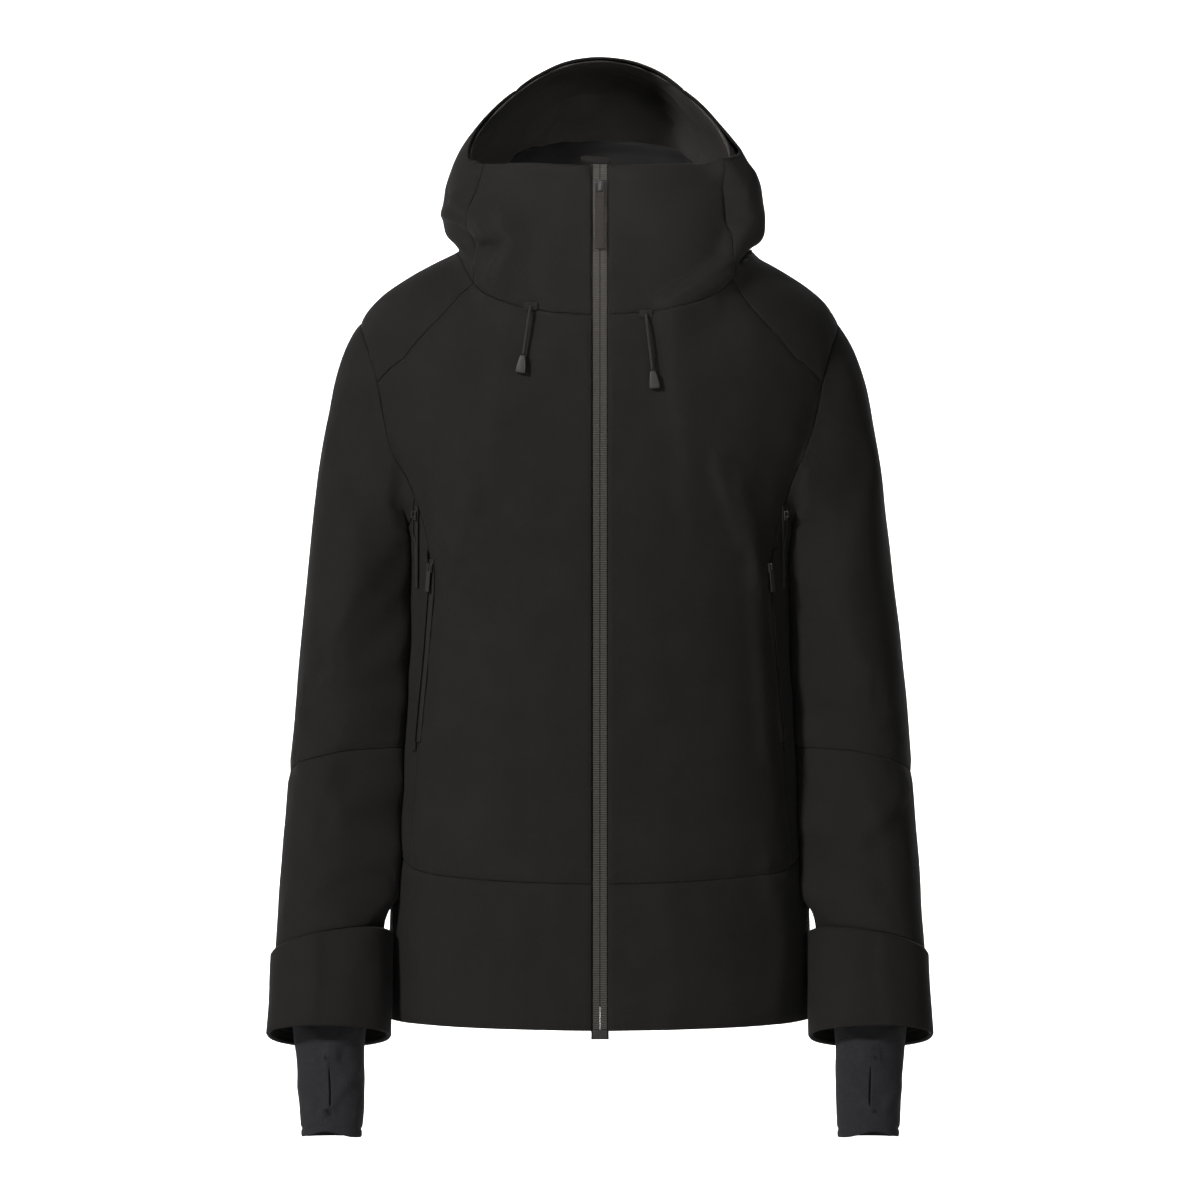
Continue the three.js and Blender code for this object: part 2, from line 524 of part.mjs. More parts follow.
// ---------- small parts ----------
const wasm = await Module();
wasm.setup();
function toSolid(geometry) {
  const bare = new THREE.BufferGeometry();
  const plain = geometry.index ? geometry.toNonIndexed() : geometry;
  bare.setAttribute('position', plain.attributes.position.clone());
  const merged = mergeVertices(bare, 1e-4);
  return new wasm.Manifold(new wasm.Mesh({
    numProp: 3, vertProperties: merged.attributes.position.array,
    triVerts: Uint32Array.from(merged.index.array),
  }));
}
function toGeometry(solid) {
  const mesh = solid.getMesh();
  const geometry = new THREE.BufferGeometry();
  geometry.setAttribute('position', new THREE.BufferAttribute(mesh.vertProperties, 3));
  geometry.setIndex(new THREE.BufferAttribute(mesh.triVerts, 1));
  return geometry;
}
function box(x, y, z, at = vec(0, 0, 0)) {
  return new THREE.BoxGeometry(x, y, z).translate(at.x, at.y, at.z);
}
// Stands a piece on a surface: its own +Z along `up`, its own -Y along `out`.
function place(mesh, at, up, out) {
  const z = up.clone().normalize();
  const x = out.clone().negate().cross(z).normalize();
  const y = z.clone().cross(x);
  mesh.quaternion.setFromRotationMatrix(new THREE.Matrix4().makeBasis(x, y, z));
  mesh.position.copy(at);
  return mesh;
}
const zipUp = vec(0, zipLean, 1).normalize();
const zipOut = vec(0, -1, zipLean).normalize();
const onZip = (z, x = 0, lift = 0) => vec(x, zipLine(z), z).addScaledVector(zipOut, lift);

// Main zip: two halves with their teeth closed, a box at the foot and a fold at the top.
const zipLength = (zipTop - zipBottom) / zipUp.z;
for (const [side, name] of [[1, 'left'], [-1, 'right']]) {
  const width = tapeHalf - seamGap / 2;
  const tape = add(`zip_tape_${name}`, box(width, tapeWall, zipLength), zipCoil);
  place(tape, onZip((zipTop + zipBottom) / 2, side * (seamGap / 2 + width / 2), -seamGap - tapeWall / 2),
    zipUp, zipOut);
}
const foot = { wide: 2 * (tapeHalf - seamGap), thick: tapeWall + 2, tall: 9, set: 1.4 };
place(add('zip_box', box(foot.wide, foot.thick, foot.tall), zipMetal),
  onZip(zipBottom - seamGap - foot.tall / 2, 0, -foot.set), zipUp, zipOut);
// The fold over the zip's top reaches further over the wearer's right side.
const garage = { wide: 28, thick: 6, tall: 6, set: 1.5, shift: -3.5, gap: seamGap + 0.2 };
place(add('zip_garage', box(garage.wide, garage.thick, garage.tall), shellCloth),
  onZip(zipTop + garage.gap + garage.tall / 2, garage.shift, -garage.set), zipUp, zipOut);

// A slider: a plate with a bridge over it that the pull hangs from. Origin at the plate's back.
const plate = { width: 9, thick: 2.2 };
const bridge = { width: 4, low: -3, high: 7, leg: 2, inside: 2.6, roof: 1.2 };
function sliderGeometry(scale) {
  const reach = plate.thick + bridge.inside + bridge.roof;
  const height = bridge.high - bridge.low;
  const arch = toSolid(box(bridge.width, reach, height,
    vec(0, -reach / 2, (bridge.high + bridge.low) / 2)));
  const hole = toSolid(box(bridge.width * 2, bridge.inside, height - 2 * bridge.leg,
    vec(0, -plate.thick - bridge.inside / 2, (bridge.high + bridge.low) / 2)));
  const base = toSolid(box(plate.width, plate.thick, sliderHeight, vec(0, -plate.thick / 2, 0)));
  return toGeometry(base.add(arch).subtract(hole)).scale(scale, scale, scale);
}
// A pull: a flat frame whose top bar lies in the bridge, with a strap below. Origin on the bar.
const frameWall = 1.4, barHeight = 2, barPlay = 0.6;
function pullGeometry(scale, length) {
  const half = strapWidth / 2, inner = bridge.width / 2 + 0.5;
  const drop = bridge.high - bridge.low - barHeight;
  const shape = new THREE.Shape([[-half, barHeight / 2], [half, barHeight / 2], [half, -length],
    [-half, -length]].map((p) => new THREE.Vector2(...p)));
  shape.holes.push(new THREE.Path([[-inner, -barHeight / 2], [-inner, -drop], [inner, -drop],
    [inner, -barHeight / 2]].map((p) => new THREE.Vector2(...p))));
  const flat = new THREE.ExtrudeGeometry(shape, { depth: frameWall, bevelEnabled: false });
  flat.translate(0, 0, -frameWall / 2).rotateX(Math.PI / 2);
  flat.deleteAttribute('normal');
  flat.deleteAttribute('uv');
  return mergeVertices(flat.scale(scale, scale, scale), 1e-4);
}
const barPlace = vec(0, -plate.thick - bridge.inside / 2, bridge.high - bridge.leg - barHeight / 2 - barPlay);
const sliderLift = 0.4;         // the plate's back stands this far in front of the teeth
function addSlider(name, pullName, scale, length, at, up, out, look) {
  const group = place(new THREE.Group(), at, up, out);
  jacket.add(group);
  add(name, sliderGeometry(scale), zipMetal, group);
  if (!pullName) return;
  const pull = add(pullName, pullGeometry(scale, length / scale), look, group);
  pull.position.copy(barPlace).multiplyScalar(scale);
}
addSlider('main_slider', 'main_pull', 1, strapLength, onZip(sliderRest, 0, sliderLift), zipUp,
  zipOut, webbing);

// Hand pockets and underarm vents. Strips follow the body just outside the face fabric.
function stripGeometry(angleAtZ, from, to, lowEdge, highEdge, near, far, steps = 6) {
  const shift = (z, mm) => {
    const angle = angleAtZ(z);
    const perDegree = bodyPoint(angle + 0.5, z).distanceTo(bodyPoint(angle - 0.5, z));
    return angle + mm / perDegree;
  };
  const grid = [lowEdge, highEdge].map((mm) => straight([0, from], [0, to], steps)
    .map(([, z]) => [shift(z, mm), z]));
  return wall([{ laid: layGrid(bodyPoint, grid, { sewn: '' }), outer: -far, inner: -near }]);
}
const stripLift = 0.5, stripThick = 1.1;
const sideCurve = new THREE.SplineCurve(seamTable.sideFront[0].map((p) => new THREE.Vector2(...p)));
function sideSeamAngle(z) {
  let low = 0, high = 1;
  for (let k = 0; k < 30; k++) {
    const middle = (low + high) / 2;
    if (sideCurve.getPoint(middle).y < z) low = middle; else high = middle;
  }
  return sideCurve.getPoint(low).x;
}
const ventAngle = (z) => angleAt(166 * g, z);
const outwardAt = (angle, z) => normalAt(bodyPoint, angle, z, 0.5, 1);
// A straight run for a slider over a curved strip: it clears the highest point of the strip.
function slideRun(angleAtZ, top, bottom) {
  const lift = stripLift + stripThick + 3 * seamGap;
  const ends = [top, bottom].map((z) => bodyPoint(angleAtZ(z), z));
  const up = ends[0].clone().sub(ends[1]).normalize();
  const out = outwardAt(angleAtZ((top + bottom) / 2), (top + bottom) / 2);
  out.addScaledVector(up, -out.dot(up)).normalize();
  let clear = 0;
  for (let k = 0; k <= 10; k++) {
    const z = mix(bottom, top, k / 10);
    clear = Math.max(clear, bodyPoint(angleAtZ(z), z).sub(ends[1]).dot(out));
  }
  return { top: ends[0].addScaledVector(out, lift + clear), up, out,
    travel: ends[1].addScaledVector(out, lift + clear).distanceTo(ends[0]) };
}
addPair('pocket_zip', stripGeometry(sideSeamAngle, pocketBottom, pocketTop, -pocketTape / 2,
  pocketTape / 2, stripLift, stripLift + stripThick), zipCoil);
addPair('pocket_welt', stripGeometry(sideSeamAngle, pocketBottom - 8, pocketTop + 8,
  pocketTape / 2 + 2 * seamGap, pocketTape / 2 + 2 * seamGap + weltWidth, stripLift, stripLift + 2),
shellCloth);
addPair('vent_zip', stripGeometry(ventAngle, ventBottom, ventTop, -ventTape / 2, ventTape / 2,
  stripLift, stripLift + stripThick, 3), zipCoil);
const bagGrid = grids.front.slice(bagFrom[0], bagTo[0] + 1)
  .map((column) => column.slice(bagFrom[1], bagTo[1] + 1));
addPair('pocket_bag', wall([{
  laid: layGrid(bodyPoint, bagGrid, { gap: 1 }), outer: underShell, inner: underShell + bagWall,
}]), liningCloth);
const flip = (v, side) => vec(side * v.x, v.y, v.z);
const runs = { pocket: slideRun(sideSeamAngle, pocketTop - 8, pocketBottom + 10),
  vent: slideRun(ventAngle, ventTop - 8, ventBottom + 8) };
for (const [side, name] of [[1, 'left'], [-1, 'right']]) {
  const pocket = runs.pocket, vent = runs.vent;
  addSlider(`pocket_slider_${name}`, `pocket_pull_${name}`, smallSlider, 24,
    flip(pocket.top, side), flip(pocket.up, side), flip(pocket.out, side), webbing);
  addSlider(`vent_slider_${name}`, null, smallSlider, 0, flip(vent.top, side),
    flip(vent.up, side), flip(vent.out, side));
}

// Hood drawcords: each leaves a stitched buttonhole under the collar seam and hangs down.
const cordEnds = { left: [41, 752, 47, 701], right: [-62, 759, -68.5, 715] };
const cordEndSize = { wide: 9, thick: 6, tall: 16, neck: 5 };
const eyelet = { wide: 12, thick: 0.8, tall: 7 };
const cordSag = 1.6;            // how far the cord stands off between its ends
for (const [name, [x0, z0, x1, z1]] of Object.entries(cordEnds)) {
  const onFront = (x, z, lift) => {
    const angle = angleAt(x, z);
    return bodyPoint(angle, z).addScaledVector(outwardAt(angle, z), lift);
  };
  const hole = onFront(x0, z0, stripLift + eyelet.thick / 2);
  const holeOut = outwardAt(angleAt(x0, z0), z0);
  place(add(`cord_eyelet_${name}`, box(eyelet.wide, eyelet.thick, eyelet.tall), shellCloth), hole,
    vec(0, 0, 1), holeOut);
  const start = stripLift + eyelet.thick + seamGap + cordDiameter / 2;
  const steps = 9;
  const route = [];
  for (let k = 0; k <= steps; k++) {
    const t = k / steps;
    const lift = mix(start, cordEndSize.thick / 2 + stripLift + 1, t)
      + cordSag * Math.sin(Math.PI * Math.sqrt(t));
    route.push(onFront(mix(x0, x1, t), mix(z0, z1, t), lift));
  }
  const path = new THREE.CatmullRomCurve3(route, false, 'catmullrom', 0.5);
  const ring = new THREE.Shape(Array.from({ length: 8 }, (_, k) => new THREE.Vector2(
    cordDiameter / 2 * Math.cos(k * Math.PI / 4), cordDiameter / 2 * Math.sin(k * Math.PI / 4))));
  const cord = new THREE.ExtrudeGeometry(ring, { steps: steps, extrudePath: path });
  cord.deleteAttribute('normal');
  cord.deleteAttribute('uv');
  add(`drawcord_${name}`, mergeVertices(cord, 1e-4), cordBraid);
  const { wide, thick, tall, neck } = cordEndSize;
  const up = route[steps - 1].clone().sub(route[steps]).normalize();
  const stopper = new THREE.ExtrudeGeometry(new THREE.Shape([[-neck / 2, 0], [-wide / 2, 5 - tall],
    [-wide / 2, -tall], [wide / 2, -tall], [wide / 2, 5 - tall], [neck / 2, 0]]
    .map((p) => new THREE.Vector2(...p))), { depth: thick, bevelEnabled: false });
  stopper.translate(0, 0, -thick / 2).rotateX(Math.PI / 2);
  stopper.deleteAttribute('normal');
  stopper.deleteAttribute('uv');
  place(add(`cord_end_${name}`, mergeVertices(stopper, 1e-4), moulded),
    route[steps].clone().addScaledVector(up, -seamGap), up, holeOut);
}

// Hanging loop at the back of the neck, against the inner collar.
const loopFoot = 840;
const loopEndAngle = 180 - deg(Math.asin((loopWidth / 2 / innerWide) ** (1 / 0.9)));
const innerFoot = innerLow.zip + innerLow.sides + innerLow.rear;
const innerTop = innerHigh.zip + innerHigh.sides + innerHigh.rear;
const collarInside = innerCollarPoint(loopEndAngle,
  (loopFoot + loopHeight - innerFoot) / (innerTop - innerFoot)).y - collarLiningWall - seamGap;
const loopTurn = { wide: 10, tall: 6 };      // the soft corners of the loop
// Half of an arch from its middle to its foot, one band width further in for the inner edge.
function archHalf(inset) {
  const half = loopWidth / 2 - inset, top = loopHeight - inset;
  const turn = new THREE.QuadraticBezierCurve(new THREE.Vector2(loopWidth / 2 - loopTurn.wide, top),
    new THREE.Vector2(half, top), new THREE.Vector2(half, loopHeight - loopTurn.tall));
  return [...turn.getPoints(3), new THREE.Vector2(half, 0)];
}
const overIt = (points) => points.map((p) => new THREE.Vector2(-p.x, p.y)).reverse();
const loopShape = new THREE.Shape([...overIt(archHalf(0)), ...archHalf(0),
  ...[...archHalf(loopBand)].reverse(), ...overIt(archHalf(loopBand)).reverse()]);
const loop = new THREE.ExtrudeGeometry(loopShape,
  { depth: loopDepth, bevelEnabled: false });
loop.translate(0, 0, -loopDepth / 2).rotateX(Math.PI / 2);
loop.deleteAttribute('normal');
loop.deleteAttribute('uv');
const loopY = collarInside - 2 * seamGap - loopDepth / 2;
add('hang_loop', mergeVertices(loop, 1e-4), webbing).position.set(0, loopY, loopFoot);

// The origin: the underside of the loop's top, where a peg or hanger holds it.
const origin = vec(0, loopY, loopFoot + loopHeight - loopBand);
jacket.position.copy(origin).negate();
const root = new THREE.Group();
root.add(jacket);

export default root;
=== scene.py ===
# Hooded ski jacket, hanging zipped: the visible cloth, seams, zips and cords around the CAD frame.
import json
import math

import bmesh
import bpy
import numpy as np
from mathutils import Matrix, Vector, noise
from mathutils.bvhtree import BVHTree
from mathutils.kdtree import KDTree

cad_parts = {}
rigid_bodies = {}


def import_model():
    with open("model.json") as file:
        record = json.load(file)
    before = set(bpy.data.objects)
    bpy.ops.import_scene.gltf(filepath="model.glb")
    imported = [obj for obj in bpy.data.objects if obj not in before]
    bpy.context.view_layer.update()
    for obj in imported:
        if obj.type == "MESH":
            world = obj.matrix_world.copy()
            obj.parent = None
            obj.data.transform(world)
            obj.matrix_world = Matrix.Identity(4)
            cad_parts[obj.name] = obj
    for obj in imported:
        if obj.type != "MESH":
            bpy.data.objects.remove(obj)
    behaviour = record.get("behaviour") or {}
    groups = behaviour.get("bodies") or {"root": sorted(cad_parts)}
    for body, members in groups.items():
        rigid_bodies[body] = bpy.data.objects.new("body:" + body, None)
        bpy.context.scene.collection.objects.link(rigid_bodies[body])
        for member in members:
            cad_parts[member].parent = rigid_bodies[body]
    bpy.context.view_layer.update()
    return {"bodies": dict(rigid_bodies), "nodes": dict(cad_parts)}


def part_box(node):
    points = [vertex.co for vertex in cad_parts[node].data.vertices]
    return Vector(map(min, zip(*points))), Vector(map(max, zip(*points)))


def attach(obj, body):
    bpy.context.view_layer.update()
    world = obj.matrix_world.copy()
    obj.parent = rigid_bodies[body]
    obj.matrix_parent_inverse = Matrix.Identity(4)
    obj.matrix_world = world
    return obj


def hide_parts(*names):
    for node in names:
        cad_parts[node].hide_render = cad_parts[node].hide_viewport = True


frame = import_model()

MM = 0.001


def corners_of(*nodes):
    """Lowest and highest corner of several CAD nodes together."""
    boxes = [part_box(n) for n in nodes]
    low = Vector([min(b[0][k] for b in boxes) for k in range(3)])
    high = Vector([max(b[1][k] for b in boxes) for k in range(3)])
    return low, high


trunk_low, trunk_high = corners_of("front_hem_panel_left", "front_hem_panel_right", "back_hem_panel")
TRUNK_Y = (trunk_low.y + trunk_high.y) / 2       # the middle of the trunk, front to back
jacket_low, _ = corners_of(*frame["nodes"])

# ---------- camera, stage and light ----------
VIEW_DISTANCE = 5.0
VIEW_WIDTH = 1.104           # width of the view at the sleeves, in metres
VIEW_HEIGHT = -0.3545        # about the middle of the jacket's height
SKY_STRENGTH = 0.13


def make_camera():
    """A level lens straight in front of the jacket."""
    data = bpy.data.cameras.new("camera")
    data.sensor_width = 36
    data.lens = data.sensor_width * VIEW_DISTANCE / VIEW_WIDTH
    camera = bpy.data.objects.new("camera", data)
    bpy.context.scene.collection.objects.link(camera)
    camera.location = (0, TRUNK_Y - VIEW_DISTANCE, VIEW_HEIGHT)
    camera.rotation_euler = (math.pi / 2, 0, 0)
    bpy.context.scene.camera = camera


def make_light(name, place, size, watts, aim, beam=180):
    """A round soft lamp aimed at a point; beam is the angle it spreads over, in degrees."""
    data = bpy.data.lights.new(name, "AREA")
    data.shape, data.size, data.energy, data.spread = "DISK", size, watts, math.radians(beam)
    lamp = bpy.data.objects.new(name, data)
    bpy.context.scene.collection.objects.link(lamp)
    lamp.location = place
    lamp.rotation_euler = (Vector(aim) - Vector(place)).to_track_quat("-Z", "Y").to_euler()


def make_stage():
    """A pale floor that curves up far behind the jacket, a dim sky, and five soft lamps: the main one
    on the wearer's right, one into the hood, a weak one on the wearer's left, two on the backdrop."""
    floor_z = jacket_low.z - 0.45
    bm = bmesh.new()
    bend, turn = 6.0, 1.4        # where the floor starts to rise, and the radius it rises with
    line = [bm.verts.new((-9, y, floor_z)) for y in (-9, bend)]
    for k in range(1, 13):
        a = math.radians(90 * k / 12)
        line.append(bm.verts.new((-9, bend + turn * math.sin(a), floor_z + turn * (1 - math.cos(a)))))
    line.append(bm.verts.new((-9, bend + turn, floor_z + 6)))
    edges = [bm.edges.new(pair) for pair in zip(line, line[1:])]
    made = bmesh.ops.extrude_edge_only(bm, edges=edges)["geom"]
    swept = [g for g in made if isinstance(g, bmesh.types.BMVert)]
    bmesh.ops.translate(bm, verts=swept, vec=(18, 0, 0))
    bmesh.ops.recalc_face_normals(bm, faces=bm.faces)
    floor = finished(bm, "floor", studio_paper(), smooth=True)
    world = bpy.data.worlds.new("sky")
    world.use_nodes = True
    world.node_tree.nodes["Background"].inputs["Color"].default_value = (1, 1, 1, 1)
    world.node_tree.nodes["Background"].inputs["Strength"].default_value = SKY_STRENGTH
    bpy.context.scene.world = world
    bpy.context.scene.view_settings.view_transform = "Standard"
    chest = (0, TRUNK_Y, -0.3)
    make_light("key_lamp", (-2.1, -2.7, 1.15), size=0.55, watts=150, aim=chest)
    make_light("hood_lamp", (0.25, -2.8, 0.42), size=0.3, watts=0.28, aim=(0, TRUNK_Y, 0.08), beam=14)
    make_light("fill_lamp", (1.2, -3.4, -0.4), size=1.2, watts=12, aim=chest)
    for side in (-1, 1):
        make_light("backdrop_lamp", (3.0 * side, 4.2, 1.8), size=1.6, watts=260,
                   aim=(0.8 * side, 6.6, -0.9))


# ---------- materials ----------
def hex_colour(code):
    """Linear colour from an sRGB hex value."""
    values = [int(code[k:k + 2], 16) / 255 for k in (0, 2, 4)]
    return [v / 12.92 if v <= 0.04045 else ((v + 0.055) / 1.055) ** 2.4 for v in values] + [1]


def node(tree, kind, settings=None, links=None):
    """Adds a node. settings are properties by name or input values by socket; links are inputs."""
    made = tree.nodes.new(kind)
    for key, value in (settings or {}).items():
        if isinstance(key, str) and hasattr(made, key):
            setattr(made, key, value)
        else:
            made.inputs[key].default_value = value
    for key, source in (links or {}).items():
        tree.links.new(source, made.inputs[key])
    return made


def new_material(name, roughness, **fixed):
    """A material with its Principled shader, ready for colour and bump."""
    made = bpy.data.materials.new(name)
    made.use_nodes = True
    shader = made.node_tree.nodes["Principled BSDF"]
    shader.inputs["Roughness"].default_value = roughness
    shader.inputs["Specular IOR Level"].default_value = 0.15
    for key, value in fixed.items():
        shader.inputs[key.replace("_", " ").title().replace("Ior", "IOR")].default_value = value
    return made, made.node_tree, shader


def two_tone(tree, shader, low, high, factor):
    """Colour between two hex values by a pattern."""
    ramp = node(tree, "ShaderNodeValToRGB", links={"Fac": factor})
    ramp.color_ramp.elements[0].color = hex_colour(low)
    ramp.color_ramp.elements[1].color = hex_colour(high)
    tree.links.new(ramp.outputs["Color"], shader.inputs["Base Color"])


def bump(tree, shader, height, distance, strength=1.0, under=None):
    """Relief of that depth in metres, over another bump if one is given."""
    links = {"Height": height}
    if under is not None:
        links["Normal"] = under.outputs["Normal"]
    made = node(tree, "ShaderNodeBump", {"Distance": distance, "Strength": strength}, links)
    tree.links.new(made.outputs["Normal"], shader.inputs["Normal"])
    return made


def wave_scale(pitch):
    """Scale of a wave texture whose bands lie pitch metres apart."""
    return 2 * math.pi / (20 * pitch)


def weave(tree, pitch, source="UV"):
    """Height of a plain weave: warp and weft bands pitch metres apart. On UV it shows only on pieces
    that have a UV map, which the zips, the pocket welts and the fold over the zip don't."""
    where = node(tree, "ShaderNodeTexCoord").outputs[source]
    bands = [node(tree, "ShaderNodeTexWave", {"bands_direction": d, "Scale": wave_scale(pitch)},
                  {"Vector": where}).outputs["Fac"] for d in ("X", "Y")]
    crossed = node(tree, "ShaderNodeMath", {"operation": "MULTIPLY"}, {0: bands[0], 1: bands[1]})
    return crossed.outputs[0]


def grain(tree, size, detail=3.0, source="Object"):
    """Cloudy pattern whose spots are about size metres across."""
    where = node(tree, "ShaderNodeTexCoord").outputs[source]
    return node(tree, "ShaderNodeTexNoise", {"Scale": 1 / size, "Detail": detail},
                {"Vector": where}).outputs["Fac"]


def polyester_twill():
    """Woven polyester face cloth, piece dyed near-black, with a matt water-repellent finish: dull,
    with a faint bloom at grazing angles.
    Threads are 0.3 mm apart; the weave is drawn 1.8 mm apart so that it shows."""
    made, tree, shader = new_material("polyester_twill_dyed_matt", 0.86, sheen_weight=0.02,
                                      sheen_roughness=0.5, specular_ior_level=0.05)
    two_tone(tree, shader, "191817", "211F1E", grain(tree, 0.045, 5.0))
    cloth = bump(tree, shader, weave(tree, 1.8 * MM), 0.12 * MM, 0.55)
    bump(tree, shader, grain(tree, 9 * MM, 4.0), 0.7 * MM, 0.35, cloth)
    return made


def nylon_taffeta(low="151414", high="1D1C1C", name="nylon_taffeta_calendered"):
    """Calendered nylon taffeta lining: smoother and a little glossier than the face cloth."""
    made, tree, shader = new_material(name, 0.75, sheen_weight=0.02,
                                      specular_ior_level=0.05)
    two_tone(tree, shader, low, high, grain(tree, 0.03, 4.0))
    bump(tree, shader, grain(tree, 6 * MM, 4.0), 0.8 * MM, 0.4)
    return made


def stretch_jersey():
    """Knitted polyester-elastane jersey, brushed: fine wales down the wrist, melange charcoal,
    no gloss."""
    made, tree, shader = new_material("stretch_jersey_knitted", 0.95, sheen_weight=0.03,
                                      sheen_roughness=0.5, specular_ior_level=0.1)
    two_tone(tree, shader, "1F1F21", "29292B", grain(tree, 2.2 * MM, 2.0))
    bump(tree, shader, weave(tree, 1.6 * MM), 0.25 * MM, 0.6)
    return made


def acetal_moulded(low="3E3B38", high="4B4844", name="acetal_moulded"):
    """Acetal zip teeth, injection moulded on the tape: hard satin plastic."""
    made, tree, shader = new_material(name, 0.5, specular_ior_level=0.25)
    two_tone(tree, shader, low, high, grain(tree, 4 * MM, 2.0))
    return made


def tape_herringbone():
    """Woven polyester zip tape, dyed: dull, with a fine rib."""
    made, tree, shader = new_material("zip_tape_woven", 0.85)
    two_tone(tree, shader, "191817", "232120", grain(tree, 3 * MM, 2.0))
    bump(tree, shader, weave(tree, 1.2 * MM), 0.15 * MM, 0.6)
    return made


def zinc_painted():
    """Die-cast zinc, tumbled and stove painted satin black."""
    made, tree, shader = new_material("zinc_die_cast_painted", 0.42, specular_ior_level=0.3)
    two_tone(tree, shader, "201E1D", "2B2927", grain(tree, 2.5 * MM, 3.0))
    bump(tree, shader, grain(tree, 0.8 * MM, 2.0), 0.03 * MM, 0.5)
    return made


def webbing_woven():
    """Narrow woven polyester webbing: cross ribs 1.3 mm apart, matt."""
    made, tree, shader = new_material("webbing_woven", 0.82)
    where = node(tree, "ShaderNodeTexCoord").outputs["Object"]
    rib = node(tree, "ShaderNodeTexWave", {"bands_direction": "Z", "Scale": wave_scale(1.3 * MM)},
               {"Vector": where}).outputs["Fac"]
    two_tone(tree, shader, "262321", "332F2D", rib)
    bump(tree, shader, rib, 0.3 * MM, 0.7)
    return made


def cord_braided():
    """Round polyester cord, braided in a fine diagonal plait: matt, slightly lighter than the cloth.
    The plait needs a UV map, which the drawcords don't have, so they come out plain."""
    made, tree, shader = new_material("cord_braided", 0.8)
    where = node(tree, "ShaderNodeTexCoord").outputs["UV"]
    plait = node(tree, "ShaderNodeTexWave", {"bands_direction": "DIAGONAL", "Scale": 10.0},
                 {"Vector": where}).outputs["Fac"]
    two_tone(tree, shader, "262422", "3E3B38", plait)
    bump(tree, shader, plait, 0.25 * MM, 0.7)
    return made


def elastomer_moulded():
    """Thermoplastic elastomer cord end, injection moulded with a fine spark-eroded texture: satin."""
    made, tree, shader = new_material("elastomer_moulded", 0.5, specular_ior_level=0.3)
    two_tone(tree, shader, "232221", "2E2D2C", grain(tree, 3 * MM, 2.0))
    bump(tree, shader, grain(tree, 0.5 * MM, 2.0), 0.04 * MM, 0.5)
    return made


def thread_spun():
    """Core-spun polyester sewing thread, near-black: dull, a shade darker than the cloth."""
    made, tree, shader = new_material("thread_spun", 0.8)
    two_tone(tree, shader, "141313", "1E1C1B", grain(tree, 2 * MM, 2.0))
    return made


def studio_paper():
    """Matt white paper sweep."""
    made, tree, shader = new_material("paper_matt_white", 0.95, specular_ior_level=0.02)
    two_tone(tree, shader, "F4F4F3", "FAFAFA", grain(tree, 1.4, 2.0))
    return made


# ---------- mesh helpers ----------
def finished(bm, name, material, smooth=False):
    """Turns a bmesh into an object in the scene."""
    mesh = bpy.data.meshes.new(name)
    bm.to_mesh(mesh)
    bm.free()
    mesh.materials.append(material)
    mesh.shade_smooth() if smooth else mesh.shade_flat()
    made = bpy.data.objects.new(name, mesh)
    bpy.context.scene.collection.objects.link(made)
    return made


def merged_copy(name):
    """A CAD node's mesh as a bmesh with its loose triangles joined."""
    bm = bmesh.new()
    bm.from_mesh(frame["nodes"][name].data)
    bmesh.ops.remove_doubles(bm, verts=bm.verts, dist=0.02 * MM)
    return bm


def regions_of(bm):
    """The faces of a bmesh in connected groups."""
    left, groups = set(bm.faces), []
    while left:
        todo = [left.pop()]
        group = []
        while todo:
            face = todo.pop()
            group.append(face)
            for edge in face.edges:
                for other in edge.link_faces:
                    if other in left:
                        left.remove(other)
                        todo.append(other)
        groups.append(group)
    return groups


def outside_of(name, wall, centre=None):
    """The outer side of a CAD shell of that wall thickness. centre is a point that it goes round."""
    bm = merged_copy(name)
    rim = [f for f in bm.faces if min(e.calc_length() for e in f.edges) < 1.3 * wall]
    bmesh.ops.delete(bm, geom=rim, context="FACES")
    low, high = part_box(name)
    centre = centre or (low + high) / 2

    def outwardness(group):
        """How much of a group of faces looks away from the centre."""
        return sum(f.calc_area() * f.normal.dot((f.calc_center_median() - centre) * Vector((1, 1, 0)))
                   for f in group)
    bm.normal_update()
    groups = sorted(regions_of(bm), key=outwardness)
    bmesh.ops.delete(bm, geom=[f for g in groups[:-1] for f in g], context="FACES")
    return bm


# ---------- the garment's outer skin ----------
SHELL_WALL = 3 * MM
HEM_WALL = 5 * MM
HOOD_WALL = 2 * MM
SKIN = {}
for side in ("left", "right"):
    SKIN[f"front_panel_{side}"] = SHELL_WALL
    SKIN[f"side_panel_{side}"] = SHELL_WALL
    SKIN[f"shoulder_yoke_{side}"] = SHELL_WALL
    SKIN[f"front_hem_panel_{side}"] = HEM_WALL
    SKIN[f"upper_sleeve_{side}"] = SHELL_WALL
    SKIN[f"forearm_sleeve_{side}"] = SHELL_WALL
    SKIN[f"collar_front_{side}"] = SHELL_WALL
    SKIN[f"hood_side_{side}"] = HOOD_WALL
SKIN.update({"back_panel": SHELL_WALL, "back_yoke": SHELL_WALL, "back_hem_panel": HEM_WALL,
             "hood_centre": HOOD_WALL})
SMOOTHING = 3                # how often each CAD face is split to lay the folds in
SEWN_WITHIN = 2.4 * MM       # corners of two panels that lie closer than this are sewn together


